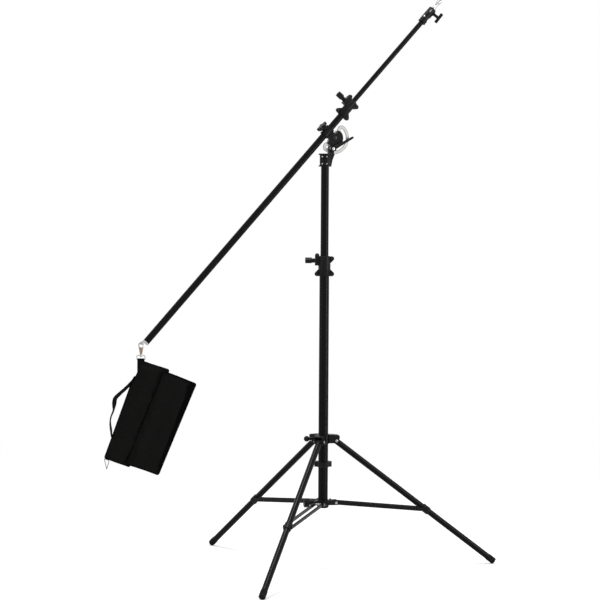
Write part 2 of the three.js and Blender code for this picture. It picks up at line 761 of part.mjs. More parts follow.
// Collar along +X: a barrel in two halves bolted through four ears, with a box for the knob on
// its +Z side. The outer tube ends inside it, and the inner tube runs through.
function collar(outerRadius, slideRadius, knobStation) {
  const barrel = outerRadius + collarWall;
  const reach = barrel + earStandoff;
  const boxFace = barrel + boxStandoff;
  const middle = collarLength / 2;
  const body = turned([
    [0, 0], [0, barrel - collarWaist], [collarWaist, barrel - collarWaist / 2], [middle, barrel],
    [collarLength - collarWaist, barrel - collarWaist], [collarLength, barrel - 2 * collarWaist],
    [collarLength, 0],
  ]);
  const root = barrel - collarWall;
  const ear = (station, side, towards) => {
    const shape = new THREE.Shape();
    const tip = side * reach;
    const end = station - towards * earRadius;
    shape.moveTo(end, side * root);
    shape.lineTo(end, tip);
    const start = towards > 0 ? 2 * quarterTurn : 0;
    const clockwise = side * towards > 0;
    shape.absarc(station, tip, earRadius, start, start - side * towards * earSweep, clockwise);
    shape.lineTo(station + towards * (earRadius * Math.SQRT2 + reach - root), side * root);
    shape.closePath();
    return uprightPlate(shape, -earThickness / 2, earThickness / 2, endSteps);
  };
  const boxEar = uprightPlate(
    roundedBar(boxLow, boxEarStation + earRadius, earRadius),
    -earThickness / 2,
    earThickness / 2,
  ).translate(0, 0, boxFace - earRadius);
  const box = block(boxLow, collarLength, -boxThickness / 2, boxThickness / 2, root, boxFace);
  const fill = block(boxLow, collarLength, -earThickness / 2, earThickness / 2, root, boxFace);
  const knobBore = alongZ(rod(collarShankRadius + runningGap, 0, boxFace + overrun, pinSides))
    .translate(knobStation, 0, 0);
  const flangeTop = collarSeat + bushFlange + 2 * runningGap;
  return cut(
    join(
      body, box, fill, boxEar,
      ear(lowEarStation + collarWaist, 1, 1), ear(lowEarStation + collarWaist, -1, 1),
      ear(highEarStation, -1, -1),
    ),
    knobBore,
    rod(outerRadius + runningGap, -overrun, flangeTop),
    rod(slideRadius + runningGap, 0, collarLength + boxFace),
  );
}

function collarKnob(outerRadius, slideRadius, knobStation) {
  const boxFace = outerRadius + collarWall + boxStandoff;
  const tip = slideRadius + runningGap;
  const seat = boxFace + runningGap;
  const neckEnd = seat + collarNeckLength;
  const stem = turned([
    [tip, 0], [tip, collarShankRadius], [seat, collarShankRadius], [seat, collarNeckRadius],
    [neckEnd + headBevel, collarNeckRadius], [neckEnd + headBevel, 0],
  ], pinSides);
  const head = lobedGrip(
    collarHeadRadius, collarHeadRipple, collarHeadLobes, neckEnd, neckEnd + collarHeadLength,
  );
  return alongZ(join(stem, head)).translate(knobStation, 0, 0);
}

// Guide bush along +X: a sleeve in the outer tube's mouth with a flange on the tube's end.
function guideBush(slideRadius, outerRadius, bore) {
  const inner = slideRadius + runningGap;
  const flange = collarSeat + runningGap;
  return turned([
    [flange - bushLength, inner], [flange - bushLength, bore - runningGap],
    [flange, bore - runningGap], [flange, outerRadius], [flange + bushFlange, outerRadius],
    [flange + bushFlange, inner], [flange - bushLength, inner],
  ]);
}

// End plug along +X: a skirt that runs in the outer tube and a stem that fills the inner one.
function guidePlug(bore, slideBore) {
  const skirt = bore - runningGap;
  const stem = slideBore - runningGap;
  return turned([
    [-plugLength / 2, 0], [-plugLength / 2, skirt], [-runningGap, skirt], [-runningGap, stem],
    [plugLength / 2, stem], [plugLength / 2, 0],
  ]);
}

// Yoke: a cup on the riser's top, a back cheek up to the tilt axis and a short front ear, with a
// slit between them for the arc plate. It is placed from the tilt axis.
const boltX = arcRadius * Math.cos(radians(boltAngle));
const boltZ = arcRadius * Math.sin(radians(boltAngle));

function yoke() {
  const top = armTop - pivotHeight;
  const low = top - cupHeight;
  const axis = -pivotOffset;
  const cup = alongZ(turned([
    [low, 0], [low, cupFlangeRadius], [low + cupFlange, cupFlangeRadius],
    [low + cupFlange + cupFlange / 2, cupRadius], [top - cupFlange - cupFlange / 2, cupRadius],
    [top - cupFlange, cupFlangeRadius], [top, cupFlangeRadius], [top, 0],
  ])).translate(axis, 0, 0);
  const armLeft = axis + cupRadius;
  const back = new THREE.Shape();
  back.moveTo(armLeft - cupFlange, low + cupFlange);
  back.lineTo(-cheekFoot, low + cupFlange);
  back.lineTo(cheekShoulder, -cheekShoulderDrop);
  back.absarc(0, 0, cheekHeadRadius, 0, 2 * quarterTurn, false);
  back.lineTo(armLeft - cupFlange, top);
  back.closePath();
  const ear = new THREE.Shape();
  ear.moveTo(armLeft - cupFlange, low + cupFlange);
  ear.lineTo(armLeft + cupFlange, low + cupFlange);
  ear.lineTo(boltX + earEyeRadius, boltZ - earEyeRadius);
  ear.absarc(boltX, boltZ, earEyeRadius, 0, 2 * quarterTurn, false);
  ear.lineTo(boltX - earEyeRadius, top);
  ear.lineTo(armLeft - cupFlange, top);
  ear.closePath();
  const cheek = uprightPlate(back, cheekFront, cheekBack, endSteps + 1);
  const front = uprightPlate(ear, earFront, cheekFront + runningGap, endSteps);
  const slit = alongY(rod(arcRim + slitGap, earFront + (arcFront - earFront) - runningGap, cheekFront, tubeSides * 2));
  const sweep = alongY(rod(hubPlateRadius + runningGap * 2, earFront - overrun, cheekFront, tubeSides * 2));
  const seat = alongZ(rod(riserRadius + runningGap, low - overrun, top - cupRoof)).translate(axis, 0, 0);
  const pivotBore = alongY(rod(pivotRadius + runningGap, cheekFront - overrun, cheekBack + overrun, barSides));
  const boltBore = alongY(rod(boltRadius + runningGap, earFront - overrun, cheekBack + overrun, barSides))
    .translate(boltX, 0, boltZ);
  return cut(join(cup, cheek, front), slit, sweep, seat, pivotBore, boltBore);
}

// Pivot bolt: a domed head in front of the hub plate, a shank and a nut behind the yoke.
function pivotBolt() {
  const seat = plateMiddle - runningGap;
  const back = cheekBack + runningGap;
  return alongY(turned([
    [seat - pivotHeadHeight, 0], [seat - pivotHeadHeight, pivotHeadRadius / 2],
    [seat - pivotHeadHeight / 2, pivotHeadRadius - pivotHeadHeight / 2], [seat, pivotHeadRadius],
    [seat, pivotRadius], [back, pivotRadius], [back, nutRadius], [back + nutThickness, nutRadius],
    [back + nutThickness, 0],
  ], barSides));
}

// Locking bolt: a head in front of the lever, a washer between lever and ear, a nut behind.
function lockingBolt() {
  const leverBack = leverPlane + leverThickness;
  const back = cheekBack + runningGap;
  return alongY(turned([
    [leverPlane - runningGap - boltHeadThickness, 0],
    [leverPlane - runningGap - boltHeadThickness, boltHeadRadius],
    [leverPlane - runningGap, boltHeadRadius], [leverPlane - runningGap, boltRadius],
    [leverBack + runningGap, boltRadius], [leverBack + runningGap, washerRadius],
    [earFront - runningGap, washerRadius], [earFront - runningGap, boltRadius], [back, boltRadius],
    [back, nutRadius], [back + nutThickness, nutRadius], [back + nutThickness, 0],
  ], barSides));
}

function tiltLever() {
  const leverBack = leverPlane + leverThickness;
  const eye = alongY(rod(leverEyeRadius, leverPlane, leverBack, barSides));
  const arm = turned([
    [leverEyeRadius / 2, 0], [leverEyeRadius / 2, leverRootRadius],
    [leverLength - leverTipRadius, leverTipRadius], [leverLength, leverTipRadius / 2], [leverLength, 0],
  ], barSides).scale(1, leverThickness / (2 * leverRootRadius), 1)
    .translate(0, leverPlane + leverThickness / 2, 0);
  return cut(join(eye, arm), alongY(rod(boltRadius + runningGap, leverPlane - overrun, leverBack + overrun, barSides)));
}

// Boom clamp, placed from the boom's axis: a lipped barrel, a neck and a D-shaped hub plate.
function boomClamp() {
  const half = clampHalfLength;
  const barrel = turned([
    [-half, 0], [-half, clampRadius], [-half + clampLip, clampRadius],
    [-half + clampLip, clampRadius - clampLipRise], [half - clampLip, clampRadius - clampLipRise],
    [half - clampLip, clampRadius], [half, clampRadius], [half, 0],
  ]);
  const flatSide = hubPlateTop - boomOffset;
  const neck = block(
    clampShift - half + clampLip, clampShift + half - clampLip, plateMiddle, clampNeckHalfThickness - clampLipRise,
    flatSide - clampLip, 0,
  );
  const start = Math.asin(hubPlateTop / hubPlateRadius);
  const dee = new THREE.Shape();
  dee.absarc(0, -boomOffset, hubPlateRadius, start, -start - 2 * quarterTurn, true);
  dee.closePath();
  const plate = uprightPlate(dee, plateMiddle, hubPlateBack, rimSteps);
  const boss = alongZ(rod(clampBossRadius, 0, clampRadius + clampBossHeight, barSides));
  const clear = block(-arcRim, arcRim, hubPlateBack, clampRadius, -boomOffset - arcRim, -clampRadius);
  const along = (geometry) => geometry.translate(clampShift, 0, 0);
  return cut(
    join(cut(neck, clear), along(barrel), plate, along(boss)),
    rod(boomRadius + runningGap, -half - overrun * 2, half + overrun),
    along(alongZ(rod(shankRadius + runningGap, 0, clampRadius + clampBossHeight + overrun, pinSides))),
    along(alongZ(rod(padRadius + runningGap, 0, boomRadius + padThickness + 3 * runningGap, barSides))),
    alongY(rod(pivotRadius + runningGap, plateMiddle - overrun, hubPlateBack + overrun, barSides))
      .translate(0, 0, -boomOffset),
  );
}

// Arc plate: a half-moon with a slot about the tilt axis and a heart that backs the hub plate.
function arcPlate() {
  const downwards = -quarterTurn;
  const from = downwards - slotHalfSpanRadians;
  const to = downwards + slotHalfSpanRadians;
  const band = (halfWidth) => {
    const shape = new THREE.Shape();
    const end = (angle) => [arcRadius * Math.cos(angle), arcRadius * Math.sin(angle)];
    shape.absarc(0, 0, arcRadius + halfWidth, from, to, false);
    shape.absarc(...end(to), halfWidth, to, to + 2 * quarterTurn, false);
    shape.absarc(0, 0, arcRadius - halfWidth, to, from, true);
    shape.absarc(...end(from), halfWidth, from + 2 * quarterTurn, from + 4 * quarterTurn, false);
    shape.closePath();
    return shape;
  };
  const start = Math.asin(arcHeartTop / arcHeartRadius);
  const heart = new THREE.Shape();
  heart.absarc(0, 0, arcHeartRadius, start, -start - 2 * quarterTurn, true);
  heart.closePath();
  const fine = (shape, yFrom, yTo) => new THREE.ExtrudeGeometry(shape, {
    depth: yTo - yFrom, bevelEnabled: false, curveSegments: rimSteps,
  }).rotateX(quarterTurn).translate(0, yTo, 0);
  return cut(
    join(fine(band(arcHalfWidth), arcFront, arcBack), fine(heart, arcFront, arcBack)),
    fine(band(slotHalfWidth), arcFront - overrun, arcBack + overrun),
    alongY(rod(pivotRadius + runningGap, arcFront - overrun, arcBack + overrun, barSides)),
  ).translate(0, 0, -boomOffset);
}

function clampKnob() {
  const tip = boomRadius + padThickness + 2 * runningGap;
  const seat = clampRadius + clampBossHeight + runningGap;
  const starLow = seat + starHubHeight;
  const stem = turned([
    [tip, 0], [tip, shankRadius], [seat, shankRadius], [seat, starHubRadius],
    [starLow + headBevel, starHubRadius], [starLow + headBevel, 0],
  ], pinSides);
  const star = lobedGrip(starRadius, starRipple, starLobes, starLow, starLow + starThickness);
  return alongZ(join(stem, star)).translate(clampShift, 0, 0);
}

function clampPad() {
  const low = boomRadius + runningGap;
  return alongZ(rod(padRadius, low, low + padThickness, barSides)).translate(clampShift, 0, 0);
}

// Boom eye: a plug in the tube's end with a bail whose cross bar carries the hook.
function boomEye() {
  const end = -boomTail - runningGap;
  const bar = -boomTail - bailReach;
  const plug = turned([
    [end - eyeFlange, 0], [end - eyeFlange, boomRadius - eyeRound], [end - eyeFlange + eyeRound, boomRadius],
    [end, boomRadius], [end, boomBore - runningGap], [end + eyePlugLength, boomBore - runningGap],
    [end + eyePlugLength, 0],
  ]);
  const inside = end - eyeFlange + bailBarRadius;
  const corners = [
    new THREE.Vector3(inside, -bailHalfWidth, 0), new THREE.Vector3(bar, -bailHalfWidth, 0),
    new THREE.Vector3(bar, bailHalfWidth, 0), new THREE.Vector3(inside, bailHalfWidth, 0),
  ];
  const points = roundedPath(corners, [0, bailRound, bailRound, 0], false);
  const bail = wire(new THREE.CatmullRomCurve3(points), bailBarRadius, barSides, ringSides);
  return join(plug, bail.translate(0, 0, bailRise));
}

// Boom head along +X: a ringed socket on the inner tube, scalloped on one side, with a bore for
// the spigot, a window on it and a boss for the screw.
function headSocket() {
  const end = headStation + headLength;
  const second = headStation + headRingPitch;
  const groove = headRadius - headGroove;
  const body = turned([
    [headStation, 0], [headStation, headRadius], [headStation + headRing, headRadius],
    [headStation + headRing, groove], [second, groove], [second, headRadius],
    [end - headRound, headRadius], [end - headRound * (1 - Math.SQRT1_2), headRadius - headRound * (1 - Math.SQRT1_2)],
    [end, headRadius - headRound], [end, 0],
  ]);
  const boss = alongZ(rod(headBossRadius, -headRadius - headBossRise, 0, barSides))
    .translate(headScrewStation, 0, 0);
  const scallopDrop = headRadius - headScallopDepth + headScallopRadius;
  const scallop = alongY(rod(headScallopRadius, -headRadius - overrun, headRadius + overrun))
    .translate(headScallopStation, 0, -scallopDrop);
  const socket = rod(innerRadius + runningGap, headStation - overrun, innerReach + runningGap);
  const window = uprightPlate(
    roundedBar(windowStation, windowStation + windowLength, windowHalfHeight), -headRadius - overrun, 0,
  );
  const screw = alongZ(rod(headScrewRadius + runningGap, -headRadius - headBossRise - overrun, 0, pinSides))
    .translate(headScrewStation, 0, 0);
  const bore = rod(spigotRadius + runningGap, end - spigotSocketDepth - runningGap, end + overrun);
  return cut(join(cut(body, scallop), boss), socket, window, screw, bore);
}

function headScrew() {
  const tip = spigotGroove - spigotRadius - runningGap;
  const collarTop = -headRadius - headBossRise - runningGap;
  const stem = turned([
    [-teeDistance, 0], [-teeDistance, headScrewCollar], [collarTop, headScrewCollar],
    [collarTop, headScrewRadius], [tip, headScrewRadius], [tip, 0],
  ], pinSides);
  const bar = turned([
    [-teeHalfLength, 0], [-teeHalfLength, teeRadius - headBevel], [headBevel - teeHalfLength, teeRadius],
    [teeHalfLength - headBevel, teeRadius], [teeHalfLength, teeRadius - headBevel], [teeHalfLength, 0],
  ], pinSides).rotateZ(-radians(teeTurn)).translate(0, 0, -teeDistance);
  return join(alongZ(stem), bar).translate(headScrewStation, 0, 0);
}

// Spigot: a mounting stud held in the head by its grooved root, waisted, with a threaded tip.
function spigot() {
  const end = headStation + headLength;
  const waist = end + spigotBase;
  const upper = waist + spigotWaist;
  const top = upper + spigotHead;
  const bevel = spigotRadius - spigotWaistRadius;
  const foot = end - spigotSocketDepth;
  const grooveLow = headScrewStation - spigotGrooveLength / 2;
  const grooveTop = headScrewStation + spigotGrooveLength / 2;
  const grooveRadius = spigotRadius - spigotGroove;
  return turned([
    [foot, 0], [foot, spigotRadius], [grooveLow - spigotGroove, spigotRadius],
    [grooveLow, grooveRadius], [grooveTop, grooveRadius], [grooveTop + spigotGroove, spigotRadius],
    [waist - bevel, spigotRadius], [waist, spigotWaistRadius], [upper, spigotWaistRadius],
    [upper + bevel, spigotRadius], [top, spigotRadius], [top, studRadius], [top + studLength, studRadius],
    [top + studLength, 0],
  ], barSides);
}

// Snap hook, placed from the bail's cross bar, hanging down: a bow over a flat tapered body that
// ends in a swivel stem with a nut.
function snapHook() {
  const bowDrop = hookBowRadius - hookWire - bailBarRadius - runningGap;
  const tip = -gateTipDrop + 2 * runningGap + gateRadius;
  const points = [new THREE.Vector3(-hookBaseRadius + hookWire / 2, 0, -hookDrop + hookBaseRadius)];
  for (let i = 0; i <= pinSides; i += 1) {
    const angle = 2 * quarterTurn * (1 - i / pinSides);
    points.push(new THREE.Vector3(
      hookBowRadius * Math.cos(angle), 0, -bowDrop + hookBowRadius * Math.sin(angle),
    ));
  }
  points.push(new THREE.Vector3(hookBowRadius, 0, tip));
  const bow = wire(new THREE.CatmullRomCurve3(points), hookWire, tubeSides, ringSides);
  const foot = -hookDrop;
  const shoulder = hookBowRadius - hookWire / 2;
  const body = uprightPlate(polygon([
    [-hookBaseRadius, foot], [hookBaseRadius, foot], [shoulder, -gatePinDrop + hookWire],
    [shoulder - hookWire, -hookBodyTop - hookWire], [-shoulder + hookWire, -hookBodyTop],
    [-shoulder, -hookBodyTop - hookWire],
  ]), -hookBodyHalfThickness, hookBodyHalfThickness);
  const nut = foot - swivelBossLength - 2 * runningGap;
  const stem = alongZ(turned([
    [nut - swivelNutLength, 0], [nut - swivelNutLength, swivelNutRadius], [nut, swivelNutRadius],
    [nut, swivelRadius], [foot + hookWire, swivelRadius], [foot + hookWire, 0],
  ], pinSides));
  const slotHalf = gateRadius + runningGap;
  const hinge = uprightPlate(polygon([
    [gatePinOffset - slotHalf - runningGap, -gatePinDrop - 2 * slotHalf],
    [hookBowRadius + overrun, -gatePinDrop - 2 * slotHalf],
    [hookBowRadius + overrun, -hookBodyTop + overrun],
    [gatePinOffset - slotHalf - runningGap, -hookBodyTop + overrun],
  ]), -slotHalf, slotHalf);
  return cut(join(bow, body, stem), hinge);
}

// Gate: a sprung bar that closes the hook's mouth, with a nub for the thumb.
function hookGate() {
  const foot = new THREE.Vector3(gatePinOffset, 0, -gatePinDrop);
  const tip = new THREE.Vector3(gateTipOffset, 0, -gateTipDrop);
  const middle = foot.clone().lerp(tip, gateNubShare);
  const bar = wire(new THREE.LineCurve3(foot, tip), gateRadius, 1);
  const nub = new THREE.SphereGeometry(gateNubRadius, nubSides, pinSides / 2)
    .translate(middle.x + gateNubRadius, 0, middle.z);
  return join(bar, nub).translate(-gatePinOffset, 0, gatePinDrop);
}

// Swivel loop, placed from the hook's foot: a strap loop under a bored boss.
function swivelLoop() {
  const top = -swivelBossLength / 2 - runningGap;
  const low = top - loopHeight;
  const corners = [
    new THREE.Vector3(-loopHalfWidth, 0, low), new THREE.Vector3(-loopHalfWidth, 0, top),
    new THREE.Vector3(loopHalfWidth, 0, top), new THREE.Vector3(loopHalfWidth, 0, low),
  ];
  const rounds = [loopRound / 2, loopRound, loopRound, loopRound / 2];
  const loop = wireRing(roundedPath(corners, rounds, true), loopWire, pinSides);
  const bossTop = -runningGap;
  const boss = alongZ(rod(swivelBossRadius, bossTop - swivelBossLength, bossTop, pinSides));
  const bore = alongZ(rod(swivelRadius + runningGap, bossTop - swivelBossLength - overrun, overrun, pinSides));
  return cut(join(loop, boss), bore);
}

const loopBarDrop = swivelBossLength / 2 + runningGap + loopHeight;

// Bag, placed from the loop's bar: x runs across it, z up its length and y through it.
const hangAngle = radians(bagHang);

// The crown of a pouch: full in the middle, drawn in to its seams.
function crown(u, v) {
  const across = Math.sin(Math.PI * u);
  const along = Math.sin(Math.PI * v);
  return Math.sqrt(across) * along ** crownShare;
}

// A pouch between four corners, from its top left clockwise; lap(x) moves it through the bag.
function pouch(corners, thickness, lap) {
  const mix = (a, b, t) => a + (b - a) * t;
  const face = (side) => (u, v) => {
    const [x, drop] = [0, 1].map((i) => mix(
      mix(corners[0][i], corners[1][i], u),
      mix(corners[3][i], corners[2][i], u),
      v,
    ));
    const half = pouchEdge / 2 + ((thickness - pouchEdge) / 2) * crown(u, v);
    return [x, lap(x) + side * half, -drop];
  };
  return pillow(face(-1), face(1), pouchColumns, pouchRows);
}

const easeIn = (t) => Math.min(1, Math.max(0, t)) ** lapPower;
const frontPouchLeft = frontPouchCorners[3][0];
const mainPouchRight = mainPouchCorners[1][0];
const ringBarZ = -mainPouchCorners[3][1] - ringWire - runningGap;

function mainPouch() {
  const lap = (x) => pouchLap * easeIn((x - lapStart) / (frontPouchLeft - lapStart));
  const body = pouch(mainPouchCorners, pouchThickness, lap).rotateY(hangAngle);
  const tabBar = alongY(rod(tabHalfThickness, -tabHalfWidth, tabHalfWidth, barSides)).rotateZ(-quarterTurn);
  const tab = block(-tabHalfWidth, tabHalfWidth, -tabHalfThickness, tabHalfThickness, -tabDrop, 0);
  const bore = rod(loopWire + runningGap, -tabHalfWidth - overrun, tabHalfWidth + overrun, barSides);
  const sleeve = rod(
    ringSleeveRadius, ringStation - ringSleeveHalfWidth, ringStation + ringSleeveHalfWidth, pinSides,
  ).translate(0, 0, ringBarZ).rotateY(hangAngle);
  const ringBore = rod(
    ringWire + runningGap, ringStation - ringHalfWidth, ringStation + ringHalfWidth, pinSides,
  ).translate(0, 0, ringBarZ).rotateY(hangAngle);
  return cut(join(body, tab, tabBar, sleeve), bore, ringBore);
}

function frontPouch() {
  const lap = (x) => -pouchLap * easeIn((lapEnd - x) / (lapEnd - mainPouchRight));
  return pouch(frontPouchCorners, frontPouchThickness, lap).rotateY(hangAngle);
}

// Carrying strap: a webbing ribbon that stands out from the bag's side and folds back to it.
function carryStrap() {
  const curve = new THREE.CatmullRomCurve3(strapPath.map(([x, drop]) => new THREE.Vector3(x, 0, -drop)));
  const left = [];
  const right = [];
  for (let i = 0; i <= strapSteps; i += 1) {
    const point = curve.getPoint(i / strapSteps);
    const along = curve.getTangent(i / strapSteps);
    const aside = new THREE.Vector3(-along.z, 0, along.x).multiplyScalar(strapThickness / 2);
    left.push([point.x + aside.x, point.z + aside.z]);
    right.unshift([point.x - aside.x, point.z - aside.z]);
  }
  const ribbon = uprightPlate(polygon([...left, ...right]), -strapHalfWidth, strapHalfWidth);
  return ribbon.translate(strapOffset, 0, 0).rotateY(hangAngle);
}

// Wire ring under the bag's low corner, hanging plumb.
function lowRing() {
  const down = new THREE.Vector3(Math.sin(hangAngle), 0, -Math.cos(hangAngle));
  const apex = down.multiplyScalar(ringDrop);
  const corners = [
    new THREE.Vector3(-ringHalfWidth, 0, 0), new THREE.Vector3(ringHalfWidth, 0, 0), apex,
  ];
  const rounds = [ringWire * 2, ringWire * 2, ringWire * 2];
  return join(wireRing(roundedPath(corners, rounds, true), ringWire, ringSides));
}

// Assembly
const stand = new THREE.Group();
const model = frameAt(0, 0, 0, stand);

function addTripod() {
  model.add(piece('column_tube', alongZ(hollow(columnRadius, columnBore, columnFoot, columnTop)), blackTube));
  const low = frameAt(0, 0, bracePinHeight, model);
  low.add(piece('brace_hub', braceHub(), blackPlastic));
  low.add(piece('brace_hub_knob', turnedBy(discKnob(), knobAzimuth), blackPlastic));
  const high = frameAt(0, 0, legPinHeight, model);
  high.add(piece('leg_hub', legHub(), blackPlastic));
  high.add(piece('leg_hub_knob', turnedBy(ballKnob(), knobAzimuth), blackPlastic));
  const ring = frameAt(0, 0, legPinHeight - clipDrop, model);
  ring.rotation.z = radians(clipYaw);
  ring.add(piece('leg_clip_ring', legClipRing(), blackPlastic));
  armAzimuths.forEach((azimuth, i) => {
    const letter = letters[i];
    const highArm = frameAt(0, 0, 0, high);
    highArm.rotation.z = radians(azimuth);
    const legFrame = frameAt(hubPinDistance, 0, 0, highArm);
    legFrame.add(piece(`leg_pin_${letter}`, crossPin(legLugHalfWidth), chrome));
    const leg = frameAt(0, 0, 0, legFrame);
    leg.rotation.y = quarterTurn - spread;
    leg.add(piece(`leg_head_${letter}`, legHead(), blackPlastic));
    leg.add(piece(`leg_tube_${letter}`, legTube(), blackTube));
    leg.add(piece(`leg_collar_${letter}`, legCollar(), blackPlastic));
    const inverse = new THREE.Matrix4()
      .makeTranslation(hubPinDistance, 0, legPinHeight)
      .multiply(new THREE.Matrix4().makeRotationY(quarterTurn - spread))
      .invert();
    leg.add(piece(`foot_${letter}`, foot(inverse), blackRubber));
    const lowArm = frameAt(0, 0, 0, low);
    lowArm.rotation.z = radians(azimuth);
    const braceFrame = frameAt(hubPinDistance, 0, 0, lowArm);
    braceFrame.add(piece(`brace_pin_${letter}`, crossPin(braceLugHalfWidth), chrome));
    const brace = frameAt(0, 0, 0, braceFrame);
    brace.rotation.y = braceSlope;
    brace.add(piece(`brace_strip_${letter}_left`, braceStrip(1), blackTube));
    brace.add(piece(`brace_strip_${letter}_right`, braceStrip(-1), blackTube));
  });
}

function addRiser() {
  const turn = frameAt(0, 0, collarFoot, model);
  turn.rotation.z = radians(collarYaw);
  const mouth = frameAt(0, 0, 0, turn);
  mouth.rotation.y = -quarterTurn;
  mouth.add(piece('riser_collar', collar(columnRadius, riserRadius, riserKnobStation), blackPlastic));
  mouth.add(piece('riser_knob', collarKnob(columnRadius, riserRadius, riserKnobStation), blackPlastic));
  mouth.add(piece('riser_bush', guideBush(riserRadius, columnRadius, columnBore), nylon));
  const riserFoot = riserTop - riserLength;
  model.add(piece('riser_tube', alongZ(hollow(riserRadius, riserBore, riserFoot, riserTop)), blackTube));
  model.add(piece('riser_plug', alongZ(guidePlug(columnBore, riserBore)).translate(0, 0, riserFoot), nylon));
}

function addTiltHead() {
  const tiltAxis = frameAt(pivotOffset, 0, pivotHeight, model);
  tiltAxis.add(piece('yoke', yoke(), blackCasting));
  tiltAxis.add(piece('pivot_bolt', pivotBolt(), blackCasting));
  const lock = frameAt(boltX, 0, boltZ, tiltAxis);
  lock.add(piece('lever_bolt', lockingBolt(), chrome));
  const lever = piece('tilt_lever', tiltLever(), blackPlastic);
  lever.rotation.y = -radians(leverAngle);
  lock.add(lever);
  const boomFrame = frameAt(0, 0, 0, tiltAxis);
  boomFrame.rotation.y = -radians(boomElevation);
  return frameAt(0, 0, boomOffset, boomFrame);
}

function addBoom(boom) {
  boom.add(piece('boom_clamp', boomClamp(), blackCasting));
  boom.add(piece('arc_plate', arcPlate(), chrome));
  boom.add(piece('clamp_knob', clampKnob(), blackPlastic));
  boom.add(piece('clamp_pad', clampPad(), nylon));
  boom.add(piece('boom_outer_tube', hollow(boomRadius, boomBore, -boomTail, outerNose), blackTube));
  boom.add(piece('boom_eye', boomEye(), chrome));
  const mouth = frameAt(boomCollarStation, 0, 0, boom);
  mouth.add(piece('boom_collar', collar(boomRadius, innerRadius, boomKnobStation), blackPlastic));
  mouth.add(piece('boom_knob', collarKnob(boomRadius, innerRadius, boomKnobStation), blackPlastic));
  mouth.add(piece('boom_bush', guideBush(innerRadius, boomRadius, boomBore), nylon));
  const innerFoot = innerReach - innerLength;
  boom.add(piece('boom_inner_tube', hollow(innerRadius, innerBore, innerFoot, innerReach), blackTube));
  boom.add(piece('boom_plug', guidePlug(boomBore, innerBore).translate(innerFoot, 0, 0), nylon));
  const head = frameAt(0, 0, 0, boom);
  head.rotation.x = radians(headRoll);
  head.add(piece('head_socket', headSocket(), blackCasting));
  head.add(piece('head_screw', headScrew(), blackPlastic));
  head.add(piece('spigot', spigot(), chrome));
}

function addBag() {
  const elevation = radians(boomElevation);
  const reach = boomTail + bailReach;
  const rise = boomOffset + bailRise;
  const barX = pivotOffset - rise * Math.sin(elevation) - reach * Math.cos(elevation);
  const barZ = pivotHeight + rise * Math.cos(elevation) - reach * Math.sin(elevation);
  const hook = frameAt(barX, 0, barZ, model);
  hook.add(piece('snap_hook', snapHook(), nickel));
  const gate = frameAt(gatePinOffset, 0, -gatePinDrop, hook);
  gate.add(piece('hook_gate', hookGate(), nickel));
  const swivel = frameAt(0, 0, -hookDrop, hook);
  swivel.rotation.z = radians(bagYaw);
  swivel.add(piece('swivel_loop', swivelLoop(), chrome));
  const bag = frameAt(0, 0, -loopBarDrop, swivel);
  bag.add(piece('sandbag', mainPouch(), cloth));
  bag.add(piece('sandbag_front_pouch', frontPouch(), cloth));
  bag.add(piece('carry_strap', carryStrap(), cloth));
  const ringX = ringStation * Math.cos(hangAngle) + ringBarZ * Math.sin(hangAngle);
  const ringZ = ringBarZ * Math.cos(hangAngle) - ringStation * Math.sin(hangAngle);
  const ring = frameAt(ringX, 0, ringZ, bag);
  const ringMesh = piece('low_ring', lowRing().rotateY(hangAngle), chrome);
  ring.add(ringMesh);
}

addTripod();
addRiser();
addBoom(addTiltHead());
addBag();

// The origin goes to the middle of the box's bottom.
stand.updateMatrixWorld(true);
const extent = new THREE.Box3().setFromObject(stand, true);
model.position.set(-(extent.min.x + extent.max.x) / 2, -(extent.min.y + extent.max.y) / 2, -extent.min.z);

export default stand;
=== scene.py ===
"""Looks for an overhead boom arm: a tripod stand, a tilting head, a telescopic boom and its bag.

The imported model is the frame. Every class below dresses one sub-assembly: it lays new surfaces
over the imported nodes, or takes a bevelled shell of them, and gives each piece its finish.
Lengths are in millimetres in the dataclasses and in metres in every mesh.
"""
from __future__ import annotations

import logging
import math
from dataclasses import dataclass, field, replace
from enum import Enum

import bmesh
import bpy
import numpy as np
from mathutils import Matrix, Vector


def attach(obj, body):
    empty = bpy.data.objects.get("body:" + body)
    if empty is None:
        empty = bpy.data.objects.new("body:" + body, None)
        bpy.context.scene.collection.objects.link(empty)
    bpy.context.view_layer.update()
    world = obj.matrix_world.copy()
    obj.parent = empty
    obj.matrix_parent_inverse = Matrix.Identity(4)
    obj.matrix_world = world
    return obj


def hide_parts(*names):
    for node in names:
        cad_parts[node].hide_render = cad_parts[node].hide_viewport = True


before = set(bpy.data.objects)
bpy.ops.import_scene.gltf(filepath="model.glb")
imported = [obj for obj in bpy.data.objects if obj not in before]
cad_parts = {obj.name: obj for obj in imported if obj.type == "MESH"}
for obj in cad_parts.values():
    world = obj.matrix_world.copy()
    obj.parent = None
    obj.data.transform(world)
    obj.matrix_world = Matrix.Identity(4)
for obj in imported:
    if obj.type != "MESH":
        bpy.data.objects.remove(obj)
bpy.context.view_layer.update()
LOG = logging.getLogger("boom_arm")

Pair = tuple[float, float]
Triple = tuple[float, float, float]
Item = bpy.types.Object
Tree = bpy.types.NodeTree
Socket = bpy.types.NodeSocket

MM = 0.001
FULL_TURN = 2.0 * math.pi
UP: Triple = (0.0, 0.0, 1.0)
PHOTO_SIZE = 600  # pixels, both ways
LETTERS = ("a", "b", "c")


# Numbers and colour


